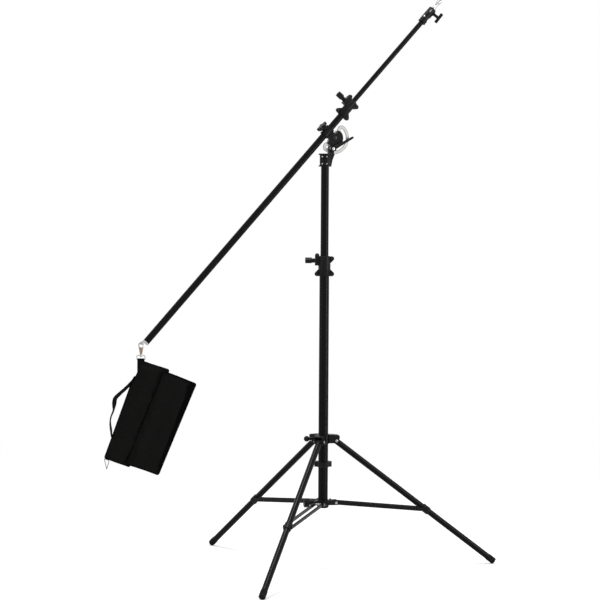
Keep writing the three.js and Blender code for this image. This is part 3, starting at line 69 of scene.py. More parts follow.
def linear(hexa: str) -> tuple[float, float, float, float]:
    """Turns an sRGB hex colour into linear light.

    Each channel c becomes c / 12.92 below 0.04045 and ((c + 0.055) / 1.055) to the 2.4 above.

    Args:
        hexa: the colour, such as "#1a1a1b".

    Returns:
        Red, green, blue and an alpha of one.
    """
    channels = [int(hexa[i : i + 2], 16) / 255.0 for i in (1, 3, 5)]
    light = [c / 12.92 if c <= 0.04045 else ((c + 0.055) / 1.055) ** 2.4 for c in channels]
    return (light[0], light[1], light[2], 1.0)


def round_angles(sides: int, shift: float = 0.0) -> np.ndarray:
    """Even angles of a full turn, moved on by a share of one step."""
    return (np.arange(sides) + shift) * FULL_TURN / sides


def cos_sin(degrees: float) -> Pair:
    """The cosine and the sine of an angle in degrees."""
    return math.cos(math.radians(degrees)), math.sin(math.radians(degrees))


def level(degrees: float) -> tuple[np.ndarray, np.ndarray]:
    """The level direction at this angle from the model's x, and the one a quarter turn on."""
    c, s = cos_sin(degrees)
    return np.array([c, s, 0.0]), np.array([-s, c, 0.0])


def ramp(values: np.ndarray, start: float, end: float) -> np.ndarray:
    """How far each value lies on the way from start to end, held at 0 and 1."""
    return np.clip((values - start) / (end - start), 0, 1)


def stack(*parts: np.ndarray | float) -> np.ndarray:
    """Points from their coordinates, each an array or one number for all."""
    return np.stack(np.broadcast_arrays(*parts), -1)


def configure(owner: object, **settings) -> object:
    """Sets these properties of an object, a modifier, a node or data, and gives it back.

    Args:
        owner: what gets the properties.
        **settings: their values by name.

    Returns:
        The owner.
    """
    for name, value in settings.items():
        setattr(owner, name, value)
    return owner


@dataclass(frozen=True)
class Axes:
    """A place to build in: an origin in millimetres and three unit directions."""

    origin: Triple = (0.0, 0.0, 0.0)
    x: Triple = (1.0, 0.0, 0.0)
    y: Triple = (0.0, 1.0, 0.0)
    z: Triple = UP

    @classmethod
    def tilted(cls, origin: Triple, degrees: float) -> Axes:
        """Axes whose x rises by this angle in the model's XZ plane, with y along the model's y."""
        c, s = cos_sin(degrees)
        return cls(origin, (c, 0.0, s), (0.0, 1.0, 0.0), (-s, 0.0, c))

    def basis(self) -> np.ndarray:
        """The three directions, one row each."""
        return np.array([self.x, self.y, self.z], float)

    def place(self, points: np.ndarray) -> np.ndarray:
        """Moves local points in mm to the model's frame in m: origin + p times the axes."""
        return (np.asarray(points, float) @ self.basis() + np.array(self.origin, float)) * MM

    def local(self, places: np.ndarray) -> np.ndarray:
        """Moves places of the model's frame in m to local points in mm."""
        return (places / MM - np.array(self.origin)) @ self.basis().T

    def at(self, x: float, y: float = 0.0, z: float = 0.0) -> Axes:
        """Gives the same directions at a new local point."""
        return replace(self, origin=tuple(self.place(np.array([[x, y, z]]))[0] / MM))

    def along(self, first: str, second: str) -> Axes:
        """Renames the axes: after along("z", "x") the new x is the old z and the new y the old x.

        A minus sign before a letter turns that direction round, and the new z is x cross y.

        Args:
            first: the old axis that becomes x.
            second: the one that becomes y.

        Returns:
            The new axes at the same origin.
        """
        def pick(word: str) -> np.ndarray:
            """The direction of this letter and sign."""
            vector = np.array(getattr(self, word[-1]), float)
            return -vector if word.startswith("-") else vector

        new_x, new_y = pick(first), pick(second)
        return Axes(self.origin, tuple(new_x), tuple(new_y), tuple(np.cross(new_x, new_y)))

    def turned(self, degrees: float) -> Axes:
        """Turns the y and z directions about x by this angle.

        Args:
            degrees: the angle, from y towards z.

        Returns:
            The turned axes.
        """
        c, s = cos_sin(degrees)
        old_y, old_z = np.array(self.y), np.array(self.z)
        return replace(self, y=tuple(c * old_y + s * old_z), z=tuple(c * old_z - s * old_y))


# Nodes and finishes


def add_node(tree: Tree, kind: str, settings: dict | None = None, **links) -> bpy.types.Node:
    """Adds one shader node.

    Args:
        tree: the node tree that gets the node.
        kind: the node's type name.
        settings: the node's own properties by name.
        **links: inputs by name with underscores for spaces, or iN for the input of index N; a
            value is a number or tuple to set, or an output socket to link.

    Returns:
        The new node.
    """
    node = configure(tree.nodes.new(kind), **(settings or {}))
    for name, value in links.items():
        index = name[1:]
        socket = node.inputs[int(index) if index.isdigit() else name.replace("_", " ")]
        if isinstance(value, Socket):
            tree.links.new(value, socket)
        else:
            socket.default_value = value
    return node


def math_node(tree: Tree, operation: str, a: object, b: object = 0.0) -> Socket:
    """Adds one math node and gives its output."""
    return add_node(tree, "ShaderNodeMath", {"operation": operation}, i0=a, i1=b).outputs[0]


def noise(tree: Tree, place: Socket, scale: float, detail: float, roughness: float = 0.5) -> Socket:
    """Adds one noise texture.

    Args:
        tree: the node tree.
        place: the coordinates that it reads.
        scale: how many of its waves lie in a metre.
        detail: its detail.
        roughness: its roughness.

    Returns:
        Its value.
    """
    node = add_node(
        tree, "ShaderNodeTexNoise", Vector=place, Scale=scale, Detail=detail, Roughness=roughness
    )
    return node.outputs["Fac"]


def mapped(tree: Tree, value: Socket, old: Pair, new: Pair, kind: str = "LINEAR") -> Socket:
    """Maps a value from the old range to the new one, held at the ends.

    Args:
        tree: the node tree.
        value: the value.
        old: the range that it comes from.
        new: the range that it goes to.
        kind: how it goes from end to end.

    Returns:
        The new value.
    """
    node = add_node(
        tree, "ShaderNodeMapRange", {"interpolation_type": kind}, Value=value,
        From_Min=old[0], From_Max=old[1], To_Min=new[0], To_Max=new[1],
    )
    return node.outputs["Result"]


def grey(tree: Tree, value: Socket) -> Socket:
    """Gives the grey colour of one value."""
    return add_node(tree, "ShaderNodeCombineColor", i0=value, i1=value, i2=value).outputs["Color"]


def empty_tree(owner: bpy.types.ID) -> Tree:
    """Turns on the nodes of a material or a world and clears them.

    Args:
        owner: the material or world.

    Returns:
        Its empty node tree.
    """
    owner.use_nodes = True
    owner.node_tree.nodes.clear()
    return owner.node_tree


class Pattern(Enum):
    """What a surface's fine relief looks like."""

    ORANGE_PEEL = "orange peel of sprayed or powder paint"
    GRAIN = "grain of a mould"
    CAST = "soft waves of a casting"
    DRAWN = "fine lines along a drawn bar"
    WEAVE = "plain weave"
    RIBBED = "ribs of a woven tape"


# Detail and roughness of the slow noise and of the scuffs, and roughness of the relief's noise
PATCH_NOISE, SCUFF_NOISE, RELIEF_ROUGHNESS = (4.0, 0.6), (6.0, 0.7), 0.55
NOISE_DETAIL = {Pattern.ORANGE_PEEL: 1.0, Pattern.GRAIN: 5.0, Pattern.CAST: 3.0, Pattern.DRAWN: 2.0}
DRAWN_STRETCH = 0.02  # the noise of drawn lines is this much slower along z
PATCH_RANGE = (0.3, 0.7)  # the slow noise's values, which the roughness follows
# Scuffs: their frequency as a share of the relief's, the noise's values, and the tint they give
SCUFF_SCALE, SCUFF_RANGE, SCUFF_TINT = 0.21, (0.35, 0.75), (0.86, 1.12)
THREAD_WANDER_SCALE, THREAD_WANDER = 0.05, 1.4  # share of the thread count; radians
WEFT_SHARE, WARP_SHARE = 0.75, 0.25  # of a ribbed tape's height
THREAD_GAP_SHADE = (0.45, 1.15)  # painted shade in the gaps between threads, slight painted highlight on their crests


@dataclass(frozen=True)
class Finish:
    """One finish: what the surface is, its colours and its relief, all at real sizes."""

    name: str
    colour: str
    second: str  # the colour that the first one varies towards
    roughness: float
    spread: float  # how far roughness varies either way
    pattern: Pattern
    pitch: float  # mm, size of one grain, thread or line
    relief: float  # mm, height of the relief
    metallic: float = 0.0
    specular: float = 0.5
    patch: float = 40.0  # mm, size of the slow variation of colour

    def build(self) -> bpy.types.Material:
        """Makes the node material, or gives the one that was made before.

        Returns:
            The material.
        """
        made = bpy.data.materials.get(self.name)
        if made:
            return made
        material = bpy.data.materials.new(self.name)
        tree = empty_tree(material)
        coords = add_node(tree, "ShaderNodeTexCoord")
        patches = noise(tree, coords.outputs["Object"], 1.0 / (self.patch * MM), *PATCH_NOISE)
        colour = add_node(
            tree, "ShaderNodeMix", {"data_type": "RGBA"}, Factor=patches,
            i6=linear(self.colour), i7=linear(self.second),
        )
        rough = (self.roughness - self.spread, self.roughness + self.spread)
        height, tint = self.relief_nodes(tree, coords)
        bump = add_node(
            tree, "ShaderNodeBump", Distance=self.relief * MM, Strength=1.0, Height=height
        )
        shaded = add_node(
            tree, "ShaderNodeMix", {"data_type": "RGBA", "blend_type": "MULTIPLY"}, Factor=1.0,
            i6=colour.outputs[2], i7=tint,
        )
        shader = add_node(
            tree, "ShaderNodeBsdfPrincipled", Base_Color=shaded.outputs[2], Metallic=self.metallic,
            Roughness=mapped(tree, patches, PATCH_RANGE, rough), Normal=bump.outputs["Normal"],
            Specular_IOR_Level=self.specular,
        )
        add_node(tree, "ShaderNodeOutputMaterial", Surface=shader.outputs["BSDF"])
        return material

    def relief_nodes(self, tree: Tree, coords: bpy.types.Node) -> tuple[Socket, Socket]:
        """Adds the nodes of the relief.

        Args:
            tree: the material's node tree.
            coords: its Texture Coordinate node.

        Returns:
            The height output and a colour output that the base colour is multiplied by.
        """
        scale = 1.0 / (self.pitch * MM)
        if self.pattern in (Pattern.WEAVE, Pattern.RIBBED):
            return self.thread_nodes(tree, coords.outputs["UV"], scale)
        place = coords.outputs["Object"]
        along = DRAWN_STRETCH if self.pattern is Pattern.DRAWN else 1.0
        stretched = add_node(tree, "ShaderNodeMapping", Vector=place, Scale=(1.0, 1.0, along))
        height = noise(tree, stretched.outputs["Vector"], scale, NOISE_DETAIL[self.pattern],
                       RELIEF_ROUGHNESS)
        scuffs = noise(tree, place, scale * SCUFF_SCALE, *SCUFF_NOISE)
        return height, grey(tree, mapped(tree, scuffs, SCUFF_RANGE, SCUFF_TINT))

    def thread_nodes(self, tree: Tree, uv: Socket, scale: float) -> tuple[Socket, Socket]:
        """Adds a weave in the piece's own UV, whose unit is a metre.

        Plain weave: the height is |sin(pi u)| where the warp is up and |sin(pi v)| where the weft
        is up, and they swap over every thread, which the sign of sin(pi u) sin(pi v) tells.
        Ribbed tape: the height is |sin(pi v)|, with a little of |sin(pi u)|.

        Args:
            tree: the material's node tree.
            uv: the UV output.
            scale: threads in a metre.

        Returns:
            The height output and a colour output that paints shade into the gaps between threads
            and a slight highlight on the threads.
        """
        wander = noise(tree, uv, scale * THREAD_WANDER_SCALE, 3.0)
        bend = math_node(tree, "MULTIPLY", wander, THREAD_WANDER)
        split = add_node(tree, "ShaderNodeSeparateXYZ", Vector=uv)
        angles = (math_node(tree, "MULTIPLY", split.outputs[i], math.pi * scale) for i in (0, 1))
        sines = [math_node(tree, "SINE", math_node(tree, "ADD", angle, bend)) for angle in angles]
        warp, weft = (math_node(tree, "ABSOLUTE", sine) for sine in sines)
        if self.pattern is Pattern.RIBBED:
            height = math_node(tree, "ADD", math_node(tree, "MULTIPLY", weft, WEFT_SHARE),
                               math_node(tree, "MULTIPLY", warp, WARP_SHARE))
        else:
            up = math_node(tree, "GREATER_THAN", math_node(tree, "MULTIPLY", *sines), 0.0)
            height = add_node(tree, "ShaderNodeMix", Factor=up, A=warp, B=weft).outputs[0]
        # Painted shade: the gaps between threads are darkened and their crests lightened, from the
        # height.
        return height, grey(tree, mapped(tree, height, (0.0, 1.0), THREAD_GAP_SHADE))


# Drawn steel tube in black powder paint: an even satin black whose fine orange peel softens each
# reflection to a streak.
TUBE_PAINT = Finish("tube_powder_paint", "#070708", "#0c0c0d", 0.24, 0.04, Pattern.ORANGE_PEEL,
                    1.6, 0.010, specular=0.095, patch=60.0)
# The strips of the tripod are stamped, then painted with the tubes.
STRIP_PAINT = Finish("strip_powder_paint", "#0b0b0c", "#121213", 0.28, 0.05, Pattern.ORANGE_PEEL,
                     1.4, 0.014, specular=0.13)
# Zinc alloy castings in black paint: soft waves and blunt edges.
CASTING_PAINT = Finish("casting_paint", "#080809", "#101011", 0.33, 0.07, Pattern.CAST,
                       2.6, 0.03, specular=0.145, patch=18.0)
# Glass filled nylon from a spark eroded mould: dull black with a fine even grain.
MOULDED_NYLON = Finish("moulded_nylon", "#090909", "#111112", 0.38, 0.07, Pattern.GRAIN,
                       0.8, 0.02, specular=0.14, patch=22.0)
# Acetal guide bushes and plugs: dark grey and a little waxy.
ACETAL = Finish("acetal", "#202021", "#2b2b2c", 0.45, 0.05, Pattern.GRAIN, 1.2, 0.01)
# Bright chrome on steel: a mirror with the faintest haze.
CHROME = Finish("bright_chrome", "#c9cacc", "#b9bbbe", 0.12, 0.05, Pattern.CAST,
                5.0, 0.006, metallic=1.0, patch=14.0)
# Steel plate, ground and then chromed: a softer mirror than the wire parts.
CHROMED_PLATE = Finish("chromed_plate", "#d4d3d2", "#c6c5c4", 0.22, 0.06, Pattern.DRAWN,
                       0.9, 0.012, metallic=1.0, patch=16.0)
# Painted shade along the plate's rounded edges: a darker, warmer line on the chrome.
PLATE_EDGE_SHADE = Finish("plate_edge_painted_shade", "#48403a", "#3a332e", 0.36, 0.06, Pattern.CAST,
                    1.6, 0.012, metallic=1.0, patch=10.0)
# Zinc alloy hook with a thin nickel plate, gone slightly brown.
NICKEL = Finish("worn_nickel", "#a89684", "#8d7d6e", 0.26, 0.07, Pattern.CAST,
                2.2, 0.02, metallic=1.0, patch=9.0)
# Turned and zinc plated steel: rivet heads, screws and pins.
BRIGHT_STEEL = Finish("zinc_plated_steel", "#b4b5b8", "#9b9da1", 0.30, 0.07, Pattern.DRAWN,
                      0.7, 0.012, metallic=1.0, patch=8.0)
# Galvanised wire: grey, between a mirror and a matt metal.
GALVANISED = Finish("galvanised_wire", "#8b8d90", "#717377", 0.34, 0.06, Pattern.CAST,
                    1.8, 0.01, metallic=1.0, patch=9.0)
# Black oxide on small screws: grey where light strikes it.
BLACK_OXIDE = Finish("black_oxide", "#3a3a3c", "#2c2c2e", 0.34, 0.06, Pattern.DRAWN,
                     0.7, 0.01, metallic=1.0, patch=8.0)
# Moulded rubber feet: dull, with dust in the grain.
RUBBER = Finish("moulded_rubber", "#101010", "#1c1b1a", 0.78, 0.08, Pattern.GRAIN,
                1.1, 0.05, specular=0.12)
# 600 denier polyester, plain weave, with a thin coating inside: matt black. Threads are 0.5 mm
# apart on the real cloth and are drawn 1.3 mm apart so that they show.
BAG_CLOTH = Finish("woven_polyester", "#101010", "#181917", 0.86, 0.05, Pattern.WEAVE,
                   1.3, 0.16, specular=0.05, patch=45.0)
# The deeper black edge binding, grosgrain drawn with ribs 1.8 mm apart; it also dresses the dark
# strip down the flap's right edge.
BINDING_TAPE = Finish("grosgrain_tape", "#070708", "#0c0c0d", 0.90, 0.04, Pattern.RIBBED,
                      1.8, 0.14, specular=0.02)
# Polypropylene webbing with a slight shine on its ribs.
WEBBING = Finish("webbing", "#0a0a0b", "#111112", 0.72, 0.06, Pattern.RIBBED,
                 1.9, 0.22, specular=0.05)


# Surfaces

MERGE = 1e-7  # m, corners closer than this are one
SMALL_MERGE = 2e-6  # m, for turned pieces and shells, whose rings close on the axis
SHARP = 34.0  # degrees, past which an edge of a turned piece stays sharp
SHELL_ANGLE = 38.0  # degrees, past which an edge of a shell is rounded
FLAT = 0.6  # degrees, under which neighbouring faces of a shell are one
SUNK = 0.3  # mm that a small head reaches into the surface under it
SMALL_SIDES = 28  # facets round a rivet or a screw


def add_object(name: str, data: bpy.types.ID) -> Item:
    """Puts new data into the scene as an object at the origin.

    Args:
        name: the object's name.
        data: a mesh, a lamp or a camera.

    Returns:
        The object.
    """
    item = bpy.data.objects.new(name, data)
    bpy.context.scene.collection.objects.link(item)
    return item


def set_uv(mesh: bpy.types.Mesh, uv: np.ndarray) -> None:
    """Gives each corner of a face the UV in metres of its point.

    Args:
        mesh: the mesh, which has no UV yet.
        uv: one UV for each point.
    """
    layer = mesh.uv_layers.new(name="UVMap")
    corners = np.zeros(len(mesh.loops), np.int32)
    mesh.loops.foreach_get("vertex_index", corners)
    layer.data.foreach_set("uv", uv.reshape(-1, 2)[corners].astype(np.float32).ravel())


def raw_object(name: str, points: np.ndarray, faces: list[list[int]],
               uv: np.ndarray | None = None) -> Item:
    """Makes an object without a finish.

    Args:
        name: the piece's name.
        points: places in metres, three numbers each.
        faces: point numbers, one list for each face.
        uv: a UV in metres for each point, or None.

    Returns:
        The object, at the origin.
    """
    mesh = bpy.data.meshes.new(name)
    mesh.from_pydata(points.reshape(-1, 3).tolist(), [], faces)
    if uv is not None:
        set_uv(mesh, uv)
    mesh.validate()
    return add_object(name, mesh)


def mesh_object(name: str, points: np.ndarray, faces: list[list[int]], finish: Finish,
                uv: np.ndarray | None = None, sharp: float | None = None,
                merge: float = MERGE) -> Item:
    """Makes a whole piece: a raw object, tidied and dressed.

    Args:
        name: the piece's name.
        points: places in metres, three numbers each.
        faces: point numbers, one list for each face.
        finish: its finish.
        uv: a UV in metres for each point, or None.
        sharp: the angle in degrees past which an edge stays sharp, or None.
        merge: points closer than this in metres are one.

    Returns:
        The piece.
    """
    item = raw_object(name, points, faces, uv)
    tidy_mesh(item, merge)
    return dress(item, finish, sharp)


def dress(item: Item, finish: Finish, sharp: float | None = None) -> Item:
    """Gives a mesh its finish and smooth shading, with edges past the angle left sharp.

    Args:
        item: the piece.
        finish: its finish.
        sharp: the angle in degrees, or None for all smooth.

    Returns:
        The same piece.
    """
    item.data.materials.clear()
    item.data.materials.append(finish.build())
    item.data.polygons.foreach_set("use_smooth", np.ones(len(item.data.polygons), bool))
    if sharp is not None:
        item.data.set_sharp_from_angle(angle=math.radians(sharp))
    item.data.update()
    return item


def tidy_mesh(item: Item, distance: float, flat: float = 0.0) -> None:
    """Merges near points and turns every face out.

    Args:
        item: the piece.
        distance: points closer than this in metres are one.
        flat: faces whose angle in degrees is below this are one.
    """
    shape = bmesh.new()
    shape.from_mesh(item.data)
    bmesh.ops.remove_doubles(shape, verts=shape.verts, dist=distance)
    if flat:
        bmesh.ops.dissolve_limit(shape, angle_limit=math.radians(flat), verts=shape.verts,
                                 use_dissolve_boundaries=False, edges=shape.edges)
    bmesh.ops.recalc_face_normals(shape, faces=shape.faces)
    shape.to_mesh(item.data)
    shape.free()
    item.data.update()


def vertex_places(item: Item, evaluated: bool = False) -> np.ndarray:
    """The points of an object's mesh in metres, as it stands or after its modifiers.

    Args:
        item: the object.
        evaluated: whether its modifiers count.

    Returns:
        One row for each point.
    """
    mesh = item.data
    if evaluated:
        mesh = item.evaluated_get(bpy.context.evaluated_depsgraph_get()).to_mesh()
    places = np.zeros(len(mesh.vertices) * 3, np.float32)
    mesh.vertices.foreach_get("co", places)
    return places.reshape(-1, 3).astype(float)


def set_places(item: Item, places: np.ndarray) -> None:
    """Moves the points of an object's mesh to these places in metres."""
    item.data.vertices.foreach_set("co", places.astype(np.float32).ravel())
    item.data.update()


def apply_modifiers(item: Item) -> None:
    """Turns what the modifiers make into the object's own mesh.

    Args:
        item: the object, which has none left afterwards.
    """
    graph = bpy.context.evaluated_depsgraph_get()
    mesh = bpy.data.meshes.new_from_object(item.evaluated_get(graph))
    item.modifiers.clear()
    old, item.data = item.data, mesh
    bpy.data.meshes.remove(old)


def grid_faces(rows: int, columns: int, wrap_rows: bool = False, wrap_columns: bool = False,
               caps: bool = False) -> list[list[int]]:
    """Numbers the quads of a grid: corner (i, j), (i + 1, j), (i + 1, j + 1), (i, j + 1).

    With caps, one more face closes the first row and one the last.

    Args:
        rows: how many values i has.
        columns: how many values j has.
        wrap_rows: whether the last row meets the first.
        wrap_columns: whether the last column meets the first.
        caps: whether the two end rows are closed.

    Returns:
        Point numbers, one list for each face.
    """
    i = np.arange(rows if wrap_rows else rows - 1)
    j = np.arange(columns if wrap_columns else columns - 1)
    a, b = (index.ravel() for index in np.meshgrid(i, j, indexing="ij"))
    next_a, next_b = (a + 1) % rows, (b + 1) % columns
    faces = np.stack([a * columns + b, next_a * columns + b,
                      next_a * columns + next_b, a * columns + next_b], 1).tolist()
    if caps:
        faces += [list(range(columns))[::-1], [(rows - 1) * columns + k for k in range(columns)]]
    return faces


def run_lengths(points: np.ndarray) -> np.ndarray:
    """How far each point lies along the line through all of them, from 0."""
    return np.concatenate([[0.0], np.cumsum(np.linalg.norm(np.diff(points, axis=0), axis=1))])


def lathe(name: str, profile: list[Pair], axes: Axes, finish: Finish, sides: int = 64,
          sharp: float = SHARP) -> Item:
    """Turns a profile about x: the point (s, r) goes to s on x and r (cos t, sin t) on y and z.

    Args:
        name: the piece's name.
        profile: pairs of station and radius in mm; equal ends make a closed ring.
        axes: where the piece stands; x is the axis of turning.
        finish: its finish.
        sides: facets around.
        sharp: the angle past which an edge stays sharp.

    Returns:
        The object. An end on the axis closes there.
    """
    rings = np.array(profile, float)
    closed = bool(np.allclose(rings[0], rings[-1]))
    rings = rings[:-1] if closed else rings
    turn = round_angles(sides)
    radius = np.maximum(rings[:, 1], 1e-4)[:, None]
    local = stack(rings[:, :1], radius * np.cos(turn), radius * np.sin(turn))
    # u is the angle times 10 mm and v the length along the profile.
    uv = stack(turn * 10.0 * MM, run_lengths(rings)[:, None] * MM)
    return mesh_object(name, axes.place(local), grid_faces(len(rings), sides, closed, True),
                       finish, uv, sharp, SMALL_MERGE)


def sweep(name: str, path: np.ndarray, section: np.ndarray, finish: Finish, side: np.ndarray,
          closed: bool = False, sharp: float | None = None) -> Item:
    """Carries a section along a path.

    At each station the tangent t is the central difference of the path, the section's first axis
    is side with its part along t taken out, and the second is t cross the first.

    Args:
        name: the piece's name.
        path: stations in metres, one row each.
        section: the outline in metres, as rows of two, going round; or one for each station.
        finish: its finish.
        side: a direction near the section's first axis, one for all or one for each station.
        closed: whether the path meets itself.
        sharp: the angle past which an edge stays sharp.

    Returns:
        The object, with closed ends and a UV in metres: round the section, then along the path.
    """
    ahead, behind = np.roll(path, -1, 0), np.roll(path, 1, 0)
    if not closed:
        ahead[-1], behind[0] = path[-1], path[0]
    tangent = ahead - behind
    tangent /= np.linalg.norm(tangent, axis=1)[:, None]
    first = np.broadcast_to(side, path.shape)
    first = first - (first * tangent).sum(1)[:, None] * tangent
    first = first / np.linalg.norm(first, axis=1)[:, None]
    second = np.cross(tangent, first)
    outline = np.broadcast_to(section, (len(path),) + section.shape[-2:])
    points = (path[:, None, :] + outline[..., :1] * first[:, None, :]
              + outline[..., 1:] * second[:, None, :])
    uv = stack(run_lengths(outline[0]), run_lengths(path)[:, None])
    faces = grid_faces(*points.shape[:2], closed, True, not closed)
    return mesh_object(name, points, faces, finish, uv, sharp)


def flat_oval(half_width: float, half_height: float, sides: int, power: float,
              shift: float = 0.5) -> np.ndarray:
    """A strap's section from half sizes in mm: x = a |cos|^p and y = b |sin|^p with their signs.

    A small p makes it boxy, and shift is as in round_angles. The result is in metres.

    Args:
        half_width: half the size along x in mm.
        half_height: half the size along y in mm.
        sides: points around.
        power: the exponent p.
        shift: the first point's share of a step.

    Returns:
        One row for each point, in metres.
    """
    turn = round_angles(sides, shift)
    return stack(*(half * np.sign(wave) * np.abs(wave) ** power for half, wave in (
        (half_width, np.cos(turn)), (half_height, np.sin(turn))))) * MM


def smooth_path(points: list[tuple[float, ...]], steps: int, closed: bool = False) -> np.ndarray:
    """A curve through the points; a cubic's end slopes are half the chord between neighbours.

    Args:
        points: the places it goes through.
        steps: how many points it gets.
        closed: whether it comes back to its start.

    Returns:
        One row for each step.
    """
    knots = np.array(points, float)
    count = len(knots)
    spans = count if closed else count - 1
    t = np.linspace(0.0, spans, steps, endpoint=not closed)
    i = np.minimum(t.astype(int), spans - 1)
    f = (t - i)[:, None]

    def knot(index: np.ndarray) -> np.ndarray:
        """Picks the knots, going round when closed and staying at the ends when open."""
        return knots[index % count] if closed else knots[np.clip(index, 0, count - 1)]

    p0, p1, p2, p3 = (knot(i + k) for k in (-1, 0, 1, 2))
    return 0.5 * (2 * p1 + (p2 - p0) * f + (2 * p0 - 5 * p1 + 4 * p2 - p3) * f**2
                  + (3 * p1 - p0 - 3 * p2 + p3) * f**3)


def shell_of(node: str, finish: Finish, bevel: float, inset: float = 0.0) -> Item:
    """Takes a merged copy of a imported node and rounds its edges.

    Args:
        node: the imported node.
        finish: its finish.
        bevel: width of the rounded edges in mm.
        inset: how far in mm the surface moves in along its normals, to leave room for a motion.

    Returns:
        The new piece, which replaces the node.
    """
    item = add_object(f"{node}_shell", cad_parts[node].data.copy())
    tidy_mesh(item, SMALL_MERGE, FLAT)
    dress(item, finish, SHELL_ANGLE)
    if inset:
        normals = np.zeros(len(item.data.vertices) * 3, np.float32)
        item.data.vertex_normals.foreach_get("vector", normals)
        set_places(item, vertex_places(item) - normals.reshape(-1, 3) * inset * MM)
    configure(item.modifiers.new("edge_rounding", "BEVEL"), width=bevel * MM, segments=2,
              limit_method="ANGLE", angle_limit=math.radians(SHELL_ANGLE), harden_normals=True)
    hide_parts(node)
    return item


def dome(name: str, axes: Axes, radius: float, height: float, finish: Finish) -> Item:
    """A rivet head that stands out along x: a short skirt, then r = R cos t and s = H sin t.

    Args:
        name: the piece's name.
        axes: the foot, with x outward.
        radius: its radius in mm.
        height: its height in mm.
        finish: its finish.

    Returns:
        The piece.
    """
    skirt = 0.4
    profile = [(-SUNK, 0.0), (-SUNK, radius)] + [
        (skirt + (height - skirt) * math.sin(t), radius * math.cos(t))
        for t in np.linspace(0.0, math.pi / 2, 7)
    ]
    return lathe(name, profile, axes, finish, SMALL_SIDES)


def socket_screw(name: str, axes: Axes, radius: float, height: float, finish: Finish) -> Item:
    """A small cap screw that stands out along x, with a chamfer and a round recess for the key.

    Args:
        name: the piece's name.
        axes: the foot, with x outward.
        radius: the head's radius in mm.
        height: the head's height in mm.
        finish: its finish.

    Returns:
        The piece.
    """
    chamfer, recess, edge = radius * 0.18, radius * 0.48, 0.15
    wall_foot, floor = height * 0.35, height * 0.3
    profile = [
        (-SUNK, 0.0), (-SUNK, radius), (height - chamfer, radius), (height, radius - chamfer),
        (height, recess + edge), (height - edge, recess), (wall_foot, recess), (floor, 0.0),
    ]
    return lathe(name, profile, axes, finish, SMALL_SIDES)


@dataclass(frozen=True)
class Layout:
    """Where the sub-assemblies stand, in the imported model's frame."""

    column: Pair = (82.711, -49.303)
    tilt_height: float = 1549.4
    tilt_offset: float = 36.2
    boom_offset: float = 36.0
    elevation: float = 47.9
    collar_yaw: float = -20.0
    bag_bar: Triple = (-600.286, -49.303, 767.067)
    bag_yaw: float = -20.0
    bag_hang: float = 20.5
    head_roll: float = -24.0

    def upright(self) -> Axes:
        """Axes at the column's foot on the floor, with x upward."""
        return Axes((*self.column, 0.0), UP, (1.0, 0.0, 0.0), (0.0, 1.0, 0.0))

    def on_column(self, height: float) -> Axes:
        """Axes on the column: x upward, y away from the camera and z towards the collar's knob."""
        right, ahead = level(self.collar_yaw)
        return Axes((*self.column, height), UP, tuple(ahead), tuple(-right))

    def yoke(self) -> Axes:
        """Axes at the tilt axis, parallel to the model's."""
        return Axes((self.column[0] + self.tilt_offset, self.column[1], self.tilt_height))

    def boom(self) -> Axes:
        """Axes at the clamp's middle with x along the boom and z away from the tilt axis."""
        return Axes.tilted(self.yoke().origin, self.elevation).at(0.0, 0.0, self.boom_offset)

    def bag(self) -> Axes:
        """Axes at the swivel loop's bar: x across the bag, z up it and y away from the camera.

        Returns:
            The axes.
        """
        right, ahead = level(self.bag_yaw)
        c, s = cos_sin(self.bag_hang)
        x, z = c * right - s * np.array(UP), s * right + c * np.array(UP)
        return Axes(self.bag_bar, tuple(x), tuple(ahead), tuple(z))


@dataclass(frozen=True)
class Tube:
    """A drawn tube: both ends along its axis, outer radius, bore radius and facets around."""

    start: float
    end: float
    radius: float
    bore: float
    sides: int
    chamfer: float = 0.4

    def profile(self) -> list[Pair]:
        """The wall as a closed profile with a small chamfer at each outer edge.

        Returns:
            Pairs of station and radius.
        """
        rim = self.radius - self.chamfer
        return [(self.start, rim), (self.start + self.chamfer, self.radius),
                (self.end - self.chamfer, self.radius), (self.end, rim), (self.end, self.bore),
                (self.start, self.bore), (self.start, rim)]


@dataclass
class Assembly:
    """A sub-assembly: it keeps its pieces and puts each on its body."""

    layout: Layout = Layout()
    pieces: list[Item] = field(default_factory=list)

    def put(self, item: Item, body: str, slot: str, *nodes: str) -> Item:
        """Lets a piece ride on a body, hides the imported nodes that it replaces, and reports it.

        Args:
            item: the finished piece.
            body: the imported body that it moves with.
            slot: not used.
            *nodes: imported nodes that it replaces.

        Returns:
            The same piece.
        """
        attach(item, body)
        if nodes:
            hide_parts(*nodes)
        self.pieces.append(item)
        LOG.info("%s on %s, %d faces", item.name, body, len(item.data.polygons))
        return item

    def shell(self, node: str, body: str, slot: str, finish: Finish, bevel: float = 0.5,
              inset: float = 0.0) -> Item:
        """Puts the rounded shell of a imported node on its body."""
        return self.put(shell_of(node, finish, bevel, inset), body, slot)

    def moulded(self, node: str, body: str, bevel: float = 0.5) -> None:
        """Puts the shell of a nylon moulding on its body."""
        self.shell(node, body, "black_plastic", MOULDED_NYLON, bevel)

    def tube(self, name: str, size: Tube, axes: Axes, body: str, node: str) -> None:
        """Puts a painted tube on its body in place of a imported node."""
        item = lathe(name, size.profile(), axes, TUBE_PAINT, size.sides)
        self.put(item, body, "black_tube", node)


# The stand


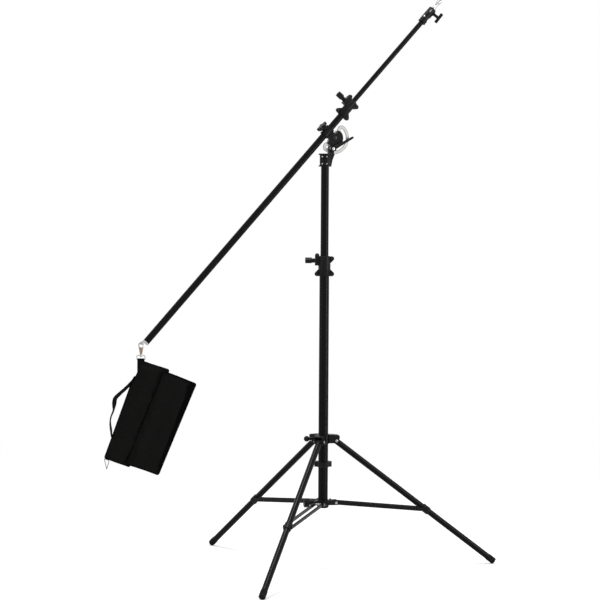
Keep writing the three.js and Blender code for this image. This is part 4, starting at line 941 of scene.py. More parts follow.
@dataclass
class Tripod(Assembly):
    """The column and its foot: three legs, their strips, two hubs and the clip ring."""

    first_azimuth: float = 111.0
    spread: float = 52.75  # degrees between a leg and the column
    pin_distance: float = 45.0
    leg_pin_height: float = 459.661
    leg: Tube = Tube(11.9, 740.7, 11.0, 9.5, 72)
    column: Tube = Tube(222.3, 1096.0, 17.5, 15.9, 96)
    foot_radius: float = 12.2
    foot_from: float = 717.0
    foot_to: float = 747.0
    foot_edge: float = 0.5
    foot_play: float = 0.35
    foot_round: float = 3.5
    groove_from: float = 4.0
    groove_pitch: float = 3.4
    groove_depth: float = 0.6
    groove_stations: tuple[float, ...] = (0.0, 0.4, 1.2, 1.6)
    grooves: int = 4
    leg_pin_end: float = 19.3
    pin_head_radius: float = 4.6
    pin_head_height: float = 1.5

    def arm(self, index: int) -> Axes:
        """Axes at a leg's hub pin with x out and down along the leg, and y along the pin.

        Args:
            index: the leg's number, from 0.

        Returns:
            The axes.
        """
        out, y = level(self.first_azimuth + 120.0 * index)
        c, s = cos_sin(90.0 - self.spread)
        place = np.array([*self.layout.column, self.leg_pin_height]) + self.pin_distance * out
        x = c * out - s * np.array(UP)
        return Axes(tuple(place), tuple(x), tuple(y), tuple(np.cross(x, y)))

    def foot(self, letter: str, axes: Axes) -> Item:
        """A rubber boot with grooves round it, cut flat where it meets the floor.

        The profile's radius dips at each groove and its end is a quarter round. Then every point
        below the floor is lifted on to it.

        Args:
            letter: the leg's letter.
            axes: the leg's axes.

        Returns:
            The piece.
        """
        full = self.foot_radius
        profile = [(self.foot_from, self.leg.radius + self.foot_play),
                   (self.foot_from, full - self.foot_edge), (self.foot_from + self.foot_edge, full)]
        for groove in range(self.grooves):
            start = self.foot_from + self.groove_from + groove * self.groove_pitch
            depths = (0.0, self.groove_depth, self.groove_depth, 0.0)
            profile += [(start + s, full - depth) for s, depth in zip(self.groove_stations, depths)]
        profile += [(self.foot_to - self.foot_round * (1 - math.sin(t)),
                     full - self.foot_round * (1 - math.cos(t)))
                    for t in np.linspace(0.0, math.pi / 2, 6)]
        profile += [(self.foot_to, 0.0)]
        item = lathe(f"foot_{letter}_boot", profile, axes, RUBBER, 48)
        places = vertex_places(item)
        places[:, 2] = np.maximum(places[:, 2], 0.0)
        set_places(item, places)
        return item

    def build(self) -> None:
        """Builds and dresses the tripod."""
        for index, letter in enumerate(LETTERS):
            body, axes = f"leg_{letter}", self.arm(index)
            self.tube(f"leg_{letter}_tube", self.leg, axes, body, f"leg_tube_{letter}")
            self.put(self.foot(letter, axes), body, "rubber", f"foot_{letter}")
            self.moulded(f"leg_head_{letter}", body)
            self.moulded(f"leg_collar_{letter}", body)
            for side in ("left", "right"):
                self.shell(f"brace_strip_{letter}_{side}", f"brace_{letter}", "black_strip",
                           STRIP_PAINT, 0.35)
            self.shell(f"leg_pin_{letter}", "leg_hub", "steel_pin", BRIGHT_STEEL, 0.3)
            self.shell(f"brace_pin_{letter}", "column", "steel_pin", BRIGHT_STEEL, 0.3)
            for sign, way, word in ((1.0, "y", "left"), (-1.0, "-y", "right")):
                end = axes.at(0.0, sign * self.leg_pin_end).along(way, "z")
                head = dome(f"leg_pin_{letter}_{word}_head", end, self.pin_head_radius,
                            self.pin_head_height, BRIGHT_STEEL)
                self.put(head, "leg_hub", "steel_pin")
        self.moulded("leg_hub", "leg_hub", 0.7)
        self.moulded("brace_hub", "column", 0.6)
        self.moulded("leg_hub_knob", "leg_hub_knob")
        self.moulded("brace_hub_knob", "brace_hub_knob")
        self.moulded("leg_clip_ring", "column")
        self.tube("column_drawn_tube", self.column, self.layout.upright(), "column", "column_tube")


@dataclass
class Collar(Assembly):
    """A clamshell collar at a tube's mouth, with its knob, its bush and the screws in its ears."""

    name: str = "riser"
    mouth: Axes = Axes()
    body: str = "column"
    barrel: float = 22.2
    low_ear: float = 6.6
    high_ear: float = 62.0
    box_ear: float = 73.0
    ear_standoff: float = 5.0
    box_ear_rise: float = 4.0
    ear_face: float = 4.5
    screw_radius: float = 3.6
    screw_height: float = 2.6
    nut_radius: float = 4.2
    nut_chamfer: float = 0.6
    nut_rise: float = 3.1
    wall_share: float = 0.61  # of the nut's rise, where its chamfer begins
    face_share: float = 0.77  # of the nut's rise, where its face lies round the screw's end
    screw_end: Pair = (1.9, 1.5)  # radii of the screw's end at the nut's face and at its tip

    def ears(self) -> list[tuple[str, float, float]]:
        """The ears' names and the middles of their screws: station and distance across.

        Returns:
            One row for each ear.
        """
        reach = self.barrel + self.ear_standoff
        return [("low_near", self.low_ear, reach), ("low_far", self.low_ear, -reach),
                ("high_far", self.high_ear, -reach),
                ("high_near", self.box_ear, self.barrel + self.box_ear_rise)]

    def build(self) -> None:
        """Builds the collar, with a cap screw in front of each ear and a hexagon nut behind it."""
        self.moulded(f"{self.name}_collar", self.body, 0.6)
        self.moulded(f"{self.name}_knob", f"{self.name}_knob")
        self.shell(f"{self.name}_bush", f"{self.name}_bush", "nylon", ACETAL, 0.2)
        wall, face = self.nut_rise * self.wall_share, self.nut_rise * self.face_share
        nut_profile = [
            (-SUNK, 0.0), (-SUNK, self.nut_radius), (wall, self.nut_radius),
            (face, self.nut_radius - self.nut_chamfer), (face, self.screw_end[0]),
            (self.nut_rise, self.screw_end[1]), (self.nut_rise, 0.0),
        ]
        for word, station, across in self.ears():
            front = self.mouth.at(station, -self.ear_face, across).along("-y", "x")
            self.put(socket_screw(f"{self.name}_collar_screw_{word}", front, self.screw_radius,
                                  self.screw_height, BLACK_OXIDE), self.body, "black_plastic")
            back = self.mouth.at(station, self.ear_face, across).along("y", "x")
            self.put(lathe(f"{self.name}_collar_nut_{word}", nut_profile, back, BLACK_OXIDE, 6,
                           20.0), self.body, "black_plastic")


@dataclass
class Mast(Assembly):
    """The riser in the column, with its collar."""

    collar_foot: float = 1053.0
    riser: Tube = Tube(561.0, 1487.0, 14.5, 13.1, 88)

    def build(self) -> None:
        """Builds the riser and its collar."""
        self.tube("riser_drawn_tube", self.riser, self.layout.upright(), "riser", "riser_tube")
        self.shell("riser_plug", "riser", "nylon", ACETAL, 0.3)
        Collar(name="riser", mouth=self.layout.on_column(self.collar_foot), body="column").build()


@dataclass
class TiltHead(Assembly):
    """The yoke, its pivot, the slotted arc plate with its bolt and lever, and the boom's clamp."""

    grub_radius: float = 19.1  # where the screws stand, just inside the cup's wall
    cup_axis: float = -36.2
    grub_angles: Pair = (-30.0, 19.5)
    grub_heights: Pair = (-67.4, -93.4)
    grub_screw: Pair = (2.6, 1.3)  # radius and height
    bolt: Pair = (-11.301, -39.412)
    bolt_front: float = -19.7
    bolt_radius: float = 5.6
    bolt_dome: float = 2.2
    lever_from: float = -9.55
    lever_to: float = 90.0
    lever_angle: float = 28.7
    lever_back: float = -10.0
    lever_front: float = -18.0
    lever_boss: float = 9.6
    lever_root: float = 7.2
    lever_tip: float = 3.9
    lever_closing: float = 4.0
    lever_power: float = 2.6
    lever_thinning: float = 0.22

    def lever(self) -> Item:
        """The moulded lever: a rounded boss on the bolt that runs out into a tapered grip.

        At station s the half height is the larger of the boss, sqrt(9.6 squared - s squared), and
        the grip, which goes from 7.2 down to 3.9 and closes over its last 4 mm as
        sqrt(1 - t squared). The section is |y / b| to the 2.6 plus |z / h| to the 2.6 equals one.

        Returns:
            The piece.
        """
        rows, sides, boss = 80, 36, self.lever_boss
        share = (1 - np.cos(np.linspace(0, math.pi, rows))) / 2
        stations = self.lever_from + (self.lever_to - self.lever_from) * share
        disc = np.sqrt(np.clip(boss**2 - stations**2, 0.0, None))
        end = ramp(stations, self.lever_to - self.lever_closing, self.lever_to)
        taper = (self.lever_tip - self.lever_root) * ramp(stations, 0.0, self.lever_to)
        grip = (self.lever_root + taper) * np.sqrt(1 - end**2)
        height = np.where(stations < 0, disc, np.maximum(disc, grip))
        thinning = self.lever_thinning * ramp(stations, boss, self.lever_to)
        depth = (self.lever_back - self.lever_front) / 2 * (1.0 - thinning)
        depth = np.minimum(depth, height * 1.5)
        oval_y, oval_z = flat_oval(1.0, 1.0, sides, 2 / self.lever_power, 0.0).T / MM
        middle = (self.lever_back + self.lever_front) / 2
        local = stack(stations[:, None], middle + depth[:, None] * oval_y,
                      height[:, None] * oval_z)
        bolt = self.layout.yoke().at(self.bolt[0], 0.0, self.bolt[1])
        axes = Axes.tilted(bolt.origin, self.lever_angle)
        return mesh_object("tilt_lever_grip", axes.place(local),
                           grid_faces(rows, sides, False, True), MOULDED_NYLON, None, 40.0, 1e-6)

    def build(self) -> None:
        """Builds the head from its castings and adds the screws and the bolt's domed end."""
        self.shell("yoke", "riser", "black_casting", CASTING_PAINT, 0.9)
        self.shell("pivot_bolt", "riser", "black_casting", BLACK_OXIDE, 0.4)
        self.shell("lever_bolt", "riser", "chrome", BRIGHT_STEEL, 0.4)
        self.put(self.lever(), "tilt_lever", "black_plastic", "tilt_lever")
        self.shell("boom_clamp", "clamp", "black_casting", CASTING_PAINT, 0.9)
        plate = self.shell("arc_plate", "clamp", "chrome", CHROMED_PLATE, 1.3)
        # The plate's bevels get the second material, which paints shade along its edges.
        plate.data.materials.append(PLATE_EDGE_SHADE.build())
        configure(plate.modifiers["edge_rounding"], material=1, use_clamp_overlap=False)
        self.moulded("clamp_knob", "clamp_knob", 0.8)
        self.shell("clamp_pad", "clamp", "nylon", ACETAL, 0.2)
        yoke = self.layout.yoke()
        for row, height in enumerate(self.grub_heights):
            for column, angle in enumerate(self.grub_angles):
                out, _ = level(self.layout.collar_yaw - 90.0 + angle)
                foot = yoke.at(self.cup_axis + self.grub_radius * out[0],
                               self.grub_radius * out[1], height)
                axes = Axes(foot.origin, tuple(out), UP, tuple(np.cross(out, UP)))
                self.put(socket_screw(f"yoke_grub_{row}_{column}", axes, *self.grub_screw,
                                      BRIGHT_STEEL), "riser", "steel_pin")
        end = yoke.at(self.bolt[0], self.bolt_front, self.bolt[1]).along("-y", "x")
        head = dome("lever_bolt_head", end, self.bolt_radius, self.bolt_dome, CHROME)
        self.put(head, "riser", "chrome")


@dataclass
class Boom(Assembly):
    """Both boom tubes, their collar, the low end's eye, and the high end's socket and spigot."""

    outer: Tube = Tube(-1005.0, 120.0, 12.0, 10.5, 80)
    inner: Tube = Tube(-480.0, 555.0, 9.0, 7.8, 72)
    collar_station: float = 77.0
    collar_barrel: float = 16.7
    collar_nut_rise: float = 0.6
    rivet_station: float = 564.5
    rivet_angle: float = -20.0
    rivet_seat: float = 14.5  # from the boom's axis, just inside the socket's wall
    rivet_size: Pair = (3.9, 1.5)  # radius and height
    key_station: float = 595.5
    key_half: Pair = (6.3, 2.05)
    key_depths: tuple[Pair, ...] = ((8.8, 1.0), (13.3, 1.0), (13.7, 0.97), (13.9, 0.88))
    spigot_profile: tuple[Pair, ...] = (
        (580.0, 0.0), (580.0, 7.4), (580.6, 8.0), (588.8, 8.0), (590.0, 6.8), (602.0, 6.8),
        (603.2, 8.0), (616.2, 8.0), (618.0, 6.3), (618.6, 6.2), (637.4, 6.2), (638.0, 6.3),
        (639.8, 8.0), (651.4, 8.0), (652.0, 7.4), (652.0, 0.0),
    )
    stud_from: float = 651.8
    stud_to: float = 662.0
    stud_radius: float = 3.1
    thread_pitch: float = 1.27
    thread_depth: float = 0.55

    def stud(self, head: Axes) -> Item:
        """The threaded tip.

        On a grid of station s and angle t the radius is R - d (1 - tri(s / p - t / 2 pi)), where
        tri is a triangle wave from 0 to 1 and p the pitch, and it shrinks over the last turn.

        Args:
            head: the boom head's axes.

        Returns:
            The piece.
        """
        rows, sides = 150, 36
        stations = np.linspace(self.stud_from, self.stud_to, rows)[:, None]
        turn = round_angles(sides)[None, :]
        phase = (stations / self.thread_pitch - turn / FULL_TURN) % 1.0
        tooth = 1.0 - np.abs(2.0 * phase - 1.0)
        lead = ramp(stations, self.stud_to, self.stud_to - self.thread_pitch)
        radius = self.stud_radius - self.thread_depth * (1.0 - tooth * lead)
        local = stack(stations, radius * np.cos(turn), radius * np.sin(turn))
        return mesh_object("spigot_thread", head.place(local),
                           grid_faces(rows, sides, False, True, True), BRIGHT_STEEL, None, 60.0)

    def window_key(self, head: Axes) -> Item:
        """The bright key in the head's window: the window's outline, smaller at the last steps.

        Args:
            head: the boom head's axes.

        Returns:
            The piece.
        """
        path = head.place(np.array([(self.key_station, -depth, 0) for depth, _ in self.key_depths]))
        outline = flat_oval(*self.key_half, 32, 0.6)
        section = np.stack([outline * share for _, share in self.key_depths])
        return sweep("head_window_key", path, section, CHROME, np.array(head.x), False, 30.0)

    def build(self) -> None:
        """Builds the boom."""
        axes, moving = self.layout.boom(), "boom_extension"
        self.tube("boom_outer_drawn_tube", self.outer, axes, "boom", "boom_outer_tube")
        self.tube("boom_inner_drawn_tube", self.inner, axes, moving, "boom_inner_tube")
        self.shell("boom_plug", moving, "nylon", ACETAL, 0.3)
        Collar(name="boom", mouth=axes.at(self.collar_station), body="boom",
               barrel=self.collar_barrel, nut_rise=self.collar_nut_rise).build()
        self.shell("boom_eye", "boom", "chrome", CHROME, 0.3)
        self.shell("head_socket", moving, "black_casting", CASTING_PAINT, 0.6)
        self.moulded("head_screw", "head_screw", 0.6)
        head = axes.turned(self.layout.head_roll)
        spigot = lathe("spigot_turned", list(self.spigot_profile), head, CHROME, 64, 20.0)
        self.put(spigot, "spigot", "chrome", "spigot")
        self.put(self.stud(head), "spigot", "chrome")
        seat = head.turned(self.rivet_angle).at(self.rivet_station, -self.rivet_seat)
        rivet = dome("head_rivet", seat.along("-y", "x"), *self.rivet_size, BRIGHT_STEEL)
        self.put(rivet, moving, "steel_pin")
        self.put(self.window_key(head), moving, "steel_pin")


# The bag


@dataclass(frozen=True)
class Pouch:
    """One sewn pouch of the bag, flat and slightly padded, given in the bag's frame in mm."""

    name: str
    corners: tuple[Pair, ...]  # top left, top right, bottom right, bottom left: across, down
    thickness: float
    leans: tuple[Triple, ...]  # how far the seam leans back, and where that starts and ends
    seam: float = 5.0
    voxel: float = 4.2
    cap: float = 5.0
    pressure: float = 4.0
    margin: float = 3.0
    dent: float = 0.0  # how far the strap pulls the left edge in, and where
    dent_drop: float = 46.0
    dent_reach: float = 24.0

    def edge_point(self, u: np.ndarray, v: np.ndarray) -> tuple[np.ndarray, np.ndarray]:
        """Place of (u, v): u runs across and v down, bilinear between the corners.

        Across then grows by dent (1 - u) cubed exp(-((down - drop) / reach) squared).

        Args:
            u: 0 at the left edge and 1 at the right.
            v: 0 at the top and 1 at the bottom.

        Returns:
            Across and down in mm.
        """
        weights = ((1 - u) * (1 - v), u * (1 - v), u * v, (1 - u) * v)
        place = sum(np.array(corner) * weight[..., None]
                    for corner, weight in zip(self.corners, weights))
        across, down = place[..., 0], place[..., 1]
        pull = np.exp(-(((down - self.dent_drop) / self.dent_reach) ** 2))
        return across + self.dent * (1 - u) ** 3 * pull, down

    def middle_at(self, across: np.ndarray) -> np.ndarray:
        """The seam's plane: back by reach t squared for each lean, t from 0 to 1 on its way."""
        return sum(reach * ramp(across, *way) ** 2 for reach, *way in self.leans)

    def rim_distance(self, local: np.ndarray) -> np.ndarray:
        """How far in mm each point lies from the pouch's outline, seen from the front.

        Args:
            local: points in the bag's frame, in mm.

        Returns:
            One distance for each point.
        """
        outline = np.array(self.corners, float) * np.array([1.0, -1.0])
        flat = local[:, [0, 2]]
        nearest = np.full(len(flat), np.inf)
        for start, end in zip(outline, np.roll(outline, -1, 0)):
            side = end - start
            along = np.clip(((flat - start) @ side) / (side @ side), 0, 1)
            gap = np.linalg.norm(flat - start - along[:, None] * side, axis=1)
            nearest = np.minimum(nearest, gap)
        return nearest

    def blank(self, axes: Axes, finish: Finish) -> Item:
        """The pouch before it is filled.

        Its half thickness is seam / 2 + (T - seam) / 2 sqrt(sin pi u) (sin pi v)^0.4.

        Args:
            axes: the bag's axes.
            finish: the cloth.

        Returns:
            The piece.
        """
        columns, rows = 30, 70
        u, v = np.meshgrid(np.linspace(0, 1, columns), np.linspace(0, 1, rows), indexing="ij")
        across, down = self.edge_point(u, v)
        crown = np.sqrt(np.sin(math.pi * u).clip(0)) * np.sin(math.pi * v).clip(0) ** 0.4
        half = self.seam / 2 + (self.thickness - self.seam) / 2 * crown
        middle = self.middle_at(across)
        sheets = [stack(across, middle + way * half, -down).reshape(-1, 3) for way in (-1, 1)]
        quads = np.array(grid_faces(columns, rows))
        count = columns * rows
        index = np.arange(count).reshape(columns, rows)
        rim = np.concatenate([index[:, 0], index[-1, 1:], index[-2::-1, -1], index[0, -2:0:-1]])
        following = np.roll(rim, -1)
        walls = np.stack([rim, following, following + count, rim + count], 1)
        faces = np.concatenate([quads, quads[:, ::-1] + count, walls]).tolist()
        return mesh_object(self.name, axes.place(np.concatenate(sheets)), faces, finish)


# Stiffness of thin coated cloth, which grows a little as the pouch is filled
CLOTH_SETTINGS = {
    "quality": 6, "mass": 0.25, "tension_stiffness": 12.0, "compression_stiffness": 12.0,
    "shear_stiffness": 4.0, "bending_stiffness": 0.35, "shrink_min": -0.035, "use_pressure": True,
    "vertex_group_mass": "seam",
}


def simulate_fill(item: Item, pinned: np.ndarray, pressure: float, cap: float,
                  frames: int = 20) -> None:
    """Fills a sewn pouch by cloth simulation, with gravity off.

    Args:
        item: the pouch, a closed mesh of even quads.
        pinned: whether each point is held, as at the seam.
        pressure: how hard it is filled.
        cap: how far in mm a point may move; a longer move is shortened to that.
        frames: steps of the simulation.
    """
    group = item.vertex_groups.new(name="seam")
    group.add(np.flatnonzero(pinned).tolist(), 1.0, "REPLACE")
    start = vertex_places(item)
    cloth = item.modifiers.new("fill", "CLOTH")
    configure(cloth.settings, **CLOTH_SETTINGS, uniform_pressure_force=pressure)
    cloth.settings.effector_weights.gravity = 0.0
    cloth.collision_settings.use_collision = False
    configure(cloth.point_cache, frame_start=1, frame_end=frames)
    scene = bpy.context.scene
    for step in range(1, frames + 1):
        scene.frame_set(step)
    shift = vertex_places(item, True) - start
    item.modifiers.remove(cloth)
    scene.frame_set(1)
    length = np.linalg.norm(shift, axis=1)
    limit = np.minimum(1.0, cap * MM / np.maximum(length, 1e-9))
    set_places(item, start + shift * limit[:, None])


@dataclass
class Bag(Assembly):
    """The counterweight bag with its hook, swivel, strap and ring."""

    main: Pouch = Pouch(
        "bag_main_pouch", ((-3.4, 3.2), (105.8, -0.3), (96.8, 366.8), (3.2, 366.8)), 22.0,
        ((9.0, 40.0, 79.0),), dent=8.0)
    flap: Pouch = Pouch(
        "bag_flap_pouch", ((89.2, 8.2), (211.3, 10.7), (201.3, 355.8), (80.2, 357.8)), 9.0,
        ((-9.0, 150.0, 107.0), (6.5, 104.0, 84.0)), seam=4.6, voxel=3.0, cap=3.0)
    fill: float = 0.25  # how full the padded pouches are
    folds: tuple[Pair, ...] = ((150.0, 1.5), (95.0, 1.0), (62.0, 0.7), (41.0, 0.45), (29.0, 0.3))
    fold_bend: Pair = (6.0, 70.0)  # how far a fold winds, and the length that sets how fast
    fold_fade: float = 14.0
    binding_half_width: float = 2.7
    free_edge_half_width: float = 1.6
    free_edge_fade: float = 8.0
    binding_half_thickness: float = 3.0
    binding_inset: float = 1.2
    binding_corner: Pair = (0.035, 0.012)  # shares of width and height left to a rounded corner
    binding_steps: int = 420
    binding_wander: tuple[float, int] = (0.5, 9)  # how far the tape waves, and how many times
    band_width: Pair = (22.0, 7.0)
    band_inset: float = 2.0
    band_front: float = 14.0  # where it starts, before it is laid on the flap
    band_ends: Pair = (0.012, 0.988)  # shares of the way down
    band_lift: float = 0.5
    band_wall: float = 0.9
    strap_path: tuple[Pair, ...] = (
        (3.0, 62.0), (-0.5, 82.0), (-13.0, 112.0), (-26.5, 138.0), (-34.0, 154.0), (-35.0, 165.0),
        (-29.5, 186.0), (-26.0, 201.0), (-26.0, 226.0), (-21.0, 246.0), (-9.5, 268.0), (0.5, 289.0),
    )
    strap_half: Pair = (11.5, 1.1)
    strap_twist: tuple[Pair, ...] = (
        (0.0, 16.0), (0.12, 26.0), (0.36, 34.0), (0.5, 36.0), (0.6, 12.0), (0.78, 4.0),
        (0.9, 12.0), (1.0, 4.0),
    )
    tab_half: Pair = (12.5, 0.9)
    tab_drops: Triple = (40.0, 24.0, 9.0)
    tab_loop: float = 3.0  # radius over the bar
    tab_gap: float = 3.4  # from the loop's bar to each half of the tab

    def sew(self, pouch: Pouch, axes: Axes) -> Item:
        """Makes a pouch: blank, even quads, filled, smoothed, and a UV of its own plane.

        Args:
            pouch: the pouch's sizes.
            axes: the bag's axes.

        Returns:
            The piece.
        """
        item = pouch.blank(axes, BAG_CLOTH)
        configure(item.modifiers.new("even_quads", "REMESH"), mode="VOXEL",
                  voxel_size=pouch.voxel * MM)
        apply_modifiers(item)
        pinned = pouch.rim_distance(axes.local(vertex_places(item))) < pouch.margin
        simulate_fill(item, pinned, pouch.pressure, pouch.cap)
        configure(item.modifiers.new("fine_cloth", "SUBSURF"), levels=1, render_levels=1)
        apply_modifiers(item)
        self.wrinkle(item, axes, pouch)
        set_uv(item.data, axes.local(vertex_places(item))[:, [0, 2]] * MM)
        return dress(item, BAG_CLOTH)

    def wrinkle(self, item: Item, axes: Axes, pouch: Pouch) -> None:
        """Lays soft folds in the cloth.

        The shift along y is the sum of a few sine waves in the bag's plane, each with its own
        direction, length and phase, faded out towards the seam by
        1 - exp(-(distance / 14 mm) squared).

        Args:
            item: the filled pouch.
            axes: the bag's axes.
            pouch: its sizes.
        """
        places = vertex_places(item)
        local = axes.local(places)
        across, up = local[:, 0], local[:, 2]
        fade = 1.0 - np.exp(-((pouch.rim_distance(local) / self.fold_fade) ** 2))
        random = np.random.default_rng(7)
        shift = np.zeros(len(local))
        for length, height in self.folds:
            angle, phase = random.uniform(0, math.pi), random.uniform(0, FULL_TURN)
            bend = self.fold_bend[0] * np.sin(up / self.fold_bend[1] + phase)
            wave = (across + bend) * math.cos(angle) + up * math.sin(angle)
            shift += height * np.sin(wave * FULL_TURN / length + phase)
        set_places(item, places + (shift * fade * MM)[:, None] * np.array(axes.y))

    def binding(self, pouch: Pouch, axes: Axes) -> Item:
        """The folded tape over a pouch's seam: a flat oval carried round its rounded outline.

        Along the flap's free edge, where the two pouches meet, the tape is narrower.

        Args:
            pouch: the pouch's sizes.
            axes: the bag's axes.

        Returns:
            The piece.
        """
        steps = 24
        wide, high = (np.linspace(share, 1 - share, steps) for share in self.binding_corner)
        zeros, ones = np.zeros(steps), np.ones(steps)
        across, down = pouch.edge_point(np.concatenate([wide, ones, wide[::-1], zeros]),
                                        np.concatenate([zeros, high, ones, high[::-1]]))
        knots = np.stack([across, down], 1)
        knots += self.binding_inset * np.sign(np.array(pouch.corners, float).mean(0) - knots)
        across, down = smooth_path(knots, self.binding_steps, True).T
        reach, waves = self.binding_wander
        wander = reach * np.sin(round_angles(self.binding_steps) * waves)
        path = axes.place(stack(across, pouch.middle_at(across) + wander, -down))
        share = np.ones(self.binding_steps)
        if pouch is self.flap:
            free_edge = max(pouch.corners[0][0], pouch.corners[3][0])
            share = ramp(across, free_edge, free_edge + self.free_edge_fade)
        narrow, full = self.free_edge_half_width, self.binding_half_width
        sizes = stack(self.binding_half_thickness, narrow + (full - narrow) * share)
        section = flat_oval(1.0, 1.0, 16, 0.5) * sizes[:, None, :]
        return sweep(f"{pouch.name}_binding", path, section, BINDING_TAPE, np.array(axes.y), True)

    def band(self, flap: Item, axes: Axes) -> Item:
        """A dark strip laid down the flap's right edge, wide at the top, narrow at the bottom.

        On a grid of u across and v down, x = right(v) - width(v) (1 - u). The grid is then laid
        on the flap's front by a Shrinkwrap and given a wall by a Solidify, and both are applied.

        Args:
            flap: the finished flap.
            axes: the bag's axes.

        Returns:
            The piece.
        """
        columns, rows = 8, 90
        u, v = np.meshgrid(np.linspace(0, 1, columns), np.linspace(*self.band_ends, rows),
                           indexing="ij")
        edge, down = self.flap.edge_point(np.ones_like(v), v)
        top, bottom = self.band_width
        across = edge - (top + (bottom - top) * np.sqrt(v)) * (1 - u)
        local = stack(across - self.band_inset, -self.band_front, -down)
        item = raw_object("bag_dark_edge_strip", axes.place(local), grid_faces(columns, rows),
                          stack(across, down) * MM)
        configure(item.modifiers.new("lay", "SHRINKWRAP"), target=flap,
                  offset=self.band_lift * MM, wrap_method="NEAREST_SURFACEPOINT",
                  wrap_mode="ABOVE_SURFACE")
        configure(item.modifiers.new("wall", "SOLIDIFY"), thickness=self.band_wall * MM, offset=0.0)
        apply_modifiers(item)
        tidy_mesh(item, MERGE)
        return dress(item, BINDING_TAPE, 50.0)

    def strap(self, axes: Axes) -> Item:
        """The webbing handle: a flat oval along its curve, half turned over its upper part.

        Args:
            axes: the bag's axes.

        Returns:
            The piece.
        """
        path = smooth_path([(x, 0.0, -drop) for x, drop in self.strap_path], 150)
        stations, angles = np.array(self.strap_twist).T
        share = np.linspace(0.0, 1.0, len(path))
        twist = np.radians(np.interp(share, stations, angles))[:, None]
        ahead = np.gradient(path, axis=0)
        ahead /= np.linalg.norm(ahead, axis=1)[:, None]
        flat_way = np.array([0.0, 1.0, 0.0])
        side = np.cos(twist) * flat_way + np.sin(twist) * np.cross(ahead, flat_way)
        section = flat_oval(*self.strap_half, 24, 0.3)
        return sweep("bag_strap", axes.place(path), section, WEBBING, side @ axes.basis())

    def tab(self, axes: Axes) -> Item:
        """The hanging tab: webbing folded over the loop's bar, from which it hangs plumb.

        Args:
            axes: the bag's axes.

        Returns:
            The piece.
        """
        down = -np.array(UP) @ np.linalg.inv(axes.basis())
        down /= np.linalg.norm(down)
        side = np.array([0.0, 1.0, 0.0])
        turn = np.linspace(-math.pi / 2, math.pi * 1.5, 26)[3:-3]
        loop = [self.tab_loop * (math.cos(t) * side - math.sin(t) * down) for t in turn[::-1]]
        front = [down * drop - side * self.tab_gap for drop in self.tab_drops]
        back = [point + 2 * side * self.tab_gap for point in front[::-1]]
        path = axes.place(smooth_path(front + loop + back, 120))
        across = np.cross(down, side) @ axes.basis()
        return sweep("bag_tab", path, flat_oval(*self.tab_half, 20, 0.3), WEBBING, across)

    def build(self) -> None:
        """Builds the bag and its hardware."""
        axes = self.layout.bag()
        for pouch, node in ((self.main, "sandbag"), (self.flap, "sandbag_front_pouch")):
            item = self.put(self.sew(pouch, axes), "bag", "cloth", node)
            self.put(self.binding(pouch, axes), "bag", "cloth")
            if pouch is self.flap:
                self.put(self.band(item, axes), "bag", "cloth")
        self.put(self.strap(axes), "bag", "cloth", "carry_strap")
        self.put(self.tab(axes), "bag", "cloth")
        self.shell("snap_hook", "hook", "nickel", NICKEL, 0.35)
        self.shell("hook_gate", "hook_gate", "nickel", NICKEL, 0.2, 0.12)
        self.shell("swivel_loop", "swivel", "chrome", CHROME, 0.25)
        self.shell("low_ring", "low_ring", "chrome", GALVANISED, 0.2)


# The studio


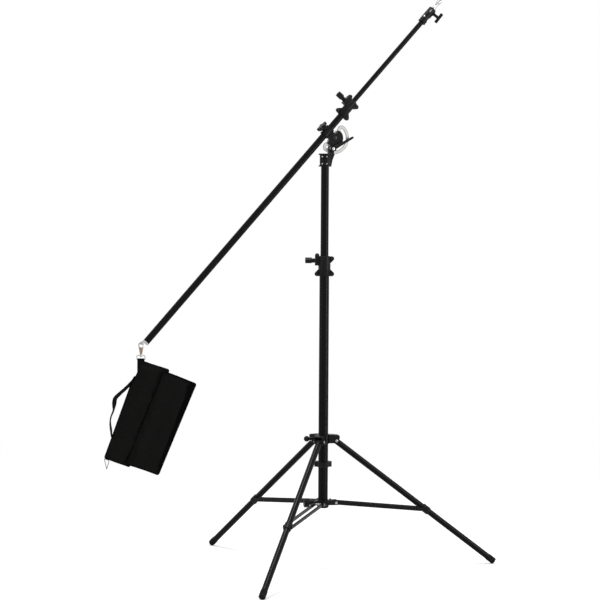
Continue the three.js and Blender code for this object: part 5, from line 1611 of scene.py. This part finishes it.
@dataclass
class Studio:
    """The camera at the photo's place, a pale floor and soft lamps."""

    layout: Layout = Layout()
    azimuth: float = -20.0  # the camera looks along this turned +Y
    distance: float = 8000.0
    lateral: float = -88.0
    height: float = 1421.2
    focal_pixels: float = 2222.0
    principal: Pair = (300.54, 173.34)
    roll: float = 0.365
    sensor: float = 36.0
    room_strength: float = 0.55
    floor_radius: float = 9.0  # m
    floor_lift: float = 0.32  # light added to the floor for the camera alone
    floor_fade: Pair = (1.2, 4.0)  # m from the column, between which the floor turns white
    aim_height: float = 1.1  # m
    # Name; metres to the right, towards the camera and up; size in metres; watts
    lamps: tuple[tuple[str, Triple, Pair, float], ...] = (
        ("key_strip", (3.6, 1.9, 1.6), (0.8, 4.2), 85.0),
        ("fill_strip", (-3.6, 2.2, 1.4), (0.5, 3.6), 17.0),
        ("top_box", (-0.2, 0.0, 4.4), (1.4, 0.8), 70.0),
    )

    def camera(self) -> None:
        """Places the camera: level, and shifted upward so that verticals stay upright."""
        right, ahead = level(self.azimuth)
        middle = PHOTO_SIZE / 2
        data = configure(
            bpy.data.cameras.new("photo_camera"), sensor_width=self.sensor, clip_end=100.0,
            lens=self.focal_pixels * self.sensor / PHOTO_SIZE,
            shift_x=-(self.principal[0] - middle) / PHOTO_SIZE,
            shift_y=(self.principal[1] - middle) / PHOTO_SIZE,
        )
        item = add_object("photo_camera", data)
        foot = np.array([*self.layout.column, self.height])
        item.location = (foot + self.lateral * right - self.distance * ahead) * MM
        item.rotation_euler = (math.pi / 2, 0.0, math.radians(self.azimuth))
        item.rotation_euler.rotate_axis("Z", math.radians(self.roll))
        bpy.context.scene.camera = item

    def lamp(self, name: str, place: Triple, size: Pair, power: float) -> None:
        """Adds a soft box that faces the middle of the stand.

        Args:
            name: the lamp's name.
            place: metres to the right, towards the camera and up.
            size: width and height in metres.
            power: watts.
        """
        right, ahead = level(self.azimuth)
        base = np.array([*self.layout.column, 0.0]) * MM
        spot = base + place[0] * right - place[1] * ahead + place[2] * np.array(UP)
        item = add_object(name, configure(bpy.data.lights.new(name, "AREA"), shape="RECTANGLE",
                                          size=size[0], size_y=size[1], energy=power))
        item.location = spot
        aim = base + self.aim_height * np.array(UP) - spot
        item.rotation_euler = Vector(aim).to_track_quat("-Z", "Y").to_euler()

    def world(self) -> None:
        """A soft grey room that camera, glossy and transmission rays see as white."""
        world = bpy.data.worlds.new("studio")
        bpy.context.scene.world = world
        tree = empty_tree(world)
        rays = add_node(tree, "ShaderNodeLightPath").outputs
        seen = math_node(tree, "MAXIMUM", rays["Is Camera Ray"], rays["Is Glossy Ray"])
        seen = math_node(tree, "MAXIMUM", seen, rays["Is Transmission Ray"])
        room, white = (add_node(tree, "ShaderNodeBackground", Color=linear("#ffffff"),
                                Strength=strength).outputs[0]
                       for strength in (self.room_strength, 1.0))
        mixed = add_node(tree, "ShaderNodeMixShader", Fac=seen, i1=room, i2=white)
        add_node(tree, "ShaderNodeOutputWorld", Surface=mixed.outputs[0])

    def floor(self) -> None:
        """A round pale floor that keeps the stand's shadow and fades to white at its rim."""
        sides = 96
        turn = round_angles(sides)
        ring = stack(np.cos(turn), np.sin(turn), 0.0) * self.floor_radius
        points = np.concatenate([np.zeros((1, 3)), ring / 2, ring])
        fan = [[0, 1 + k, 1 + (k + 1) % sides] for k in range(sides)]
        outer = [[1 + k, 1 + sides + k, 1 + sides + (k + 1) % sides, 1 + (k + 1) % sides]
                 for k in range(sides)]
        item = raw_object("studio_floor", points, fan + outer)
        item.location = (self.layout.column[0] * MM, self.layout.column[1] * MM, -0.0005)
        material = bpy.data.materials.new("painted_floor")
        tree = empty_tree(material)
        place = add_node(tree, "ShaderNodeTexCoord").outputs["Object"]
        distance = add_node(tree, "ShaderNodeVectorMath", {"operation": "LENGTH"}, i0=place)
        camera = add_node(tree, "ShaderNodeLightPath").outputs["Is Camera Ray"]
        fade = mapped(tree, distance.outputs["Value"], self.floor_fade, (0.0, 1.0), "SMOOTHSTEP")
        paint = add_node(tree, "ShaderNodeBsdfDiffuse", Color=linear("#f4f4f3")).outputs[0]
        lift, white = (add_node(tree, "ShaderNodeEmission", Color=linear("#ffffff"),
                                Strength=strength).outputs[0]
                       for strength in (self.floor_lift, 1.0))
        lifted = add_node(tree, "ShaderNodeAddShader", i0=paint, i1=lift).outputs[0]
        near = add_node(tree, "ShaderNodeMixShader", Fac=camera, i1=paint, i2=lifted).outputs[0]
        both = math_node(tree, "MULTIPLY", fade, camera)
        mixed = add_node(tree, "ShaderNodeMixShader", Fac=both, i1=near, i2=white)
        add_node(tree, "ShaderNodeOutputMaterial", Surface=mixed.outputs[0])
        item.data.materials.append(material)

    def build(self) -> None:
        """Sets up the camera, the lamps, the room and the floor."""
        self.camera()
        self.world()
        self.floor()
        for lamp in self.lamps:
            self.lamp(*lamp)
        bpy.context.scene.view_settings.view_transform = "Standard"


def main() -> None:
    """Builds the studio and every sub-assembly."""
    logging.basicConfig(level=logging.INFO, format="%(message)s")
    Studio().build()
    for assembly in (Tripod(), Mast(), TiltHead(), Boom(), Bag()):
        assembly.build()
        LOG.info("%s is done: %d pieces", type(assembly).__name__, len(assembly.pieces))
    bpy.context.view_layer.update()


if __name__ == "__main__":
    main()
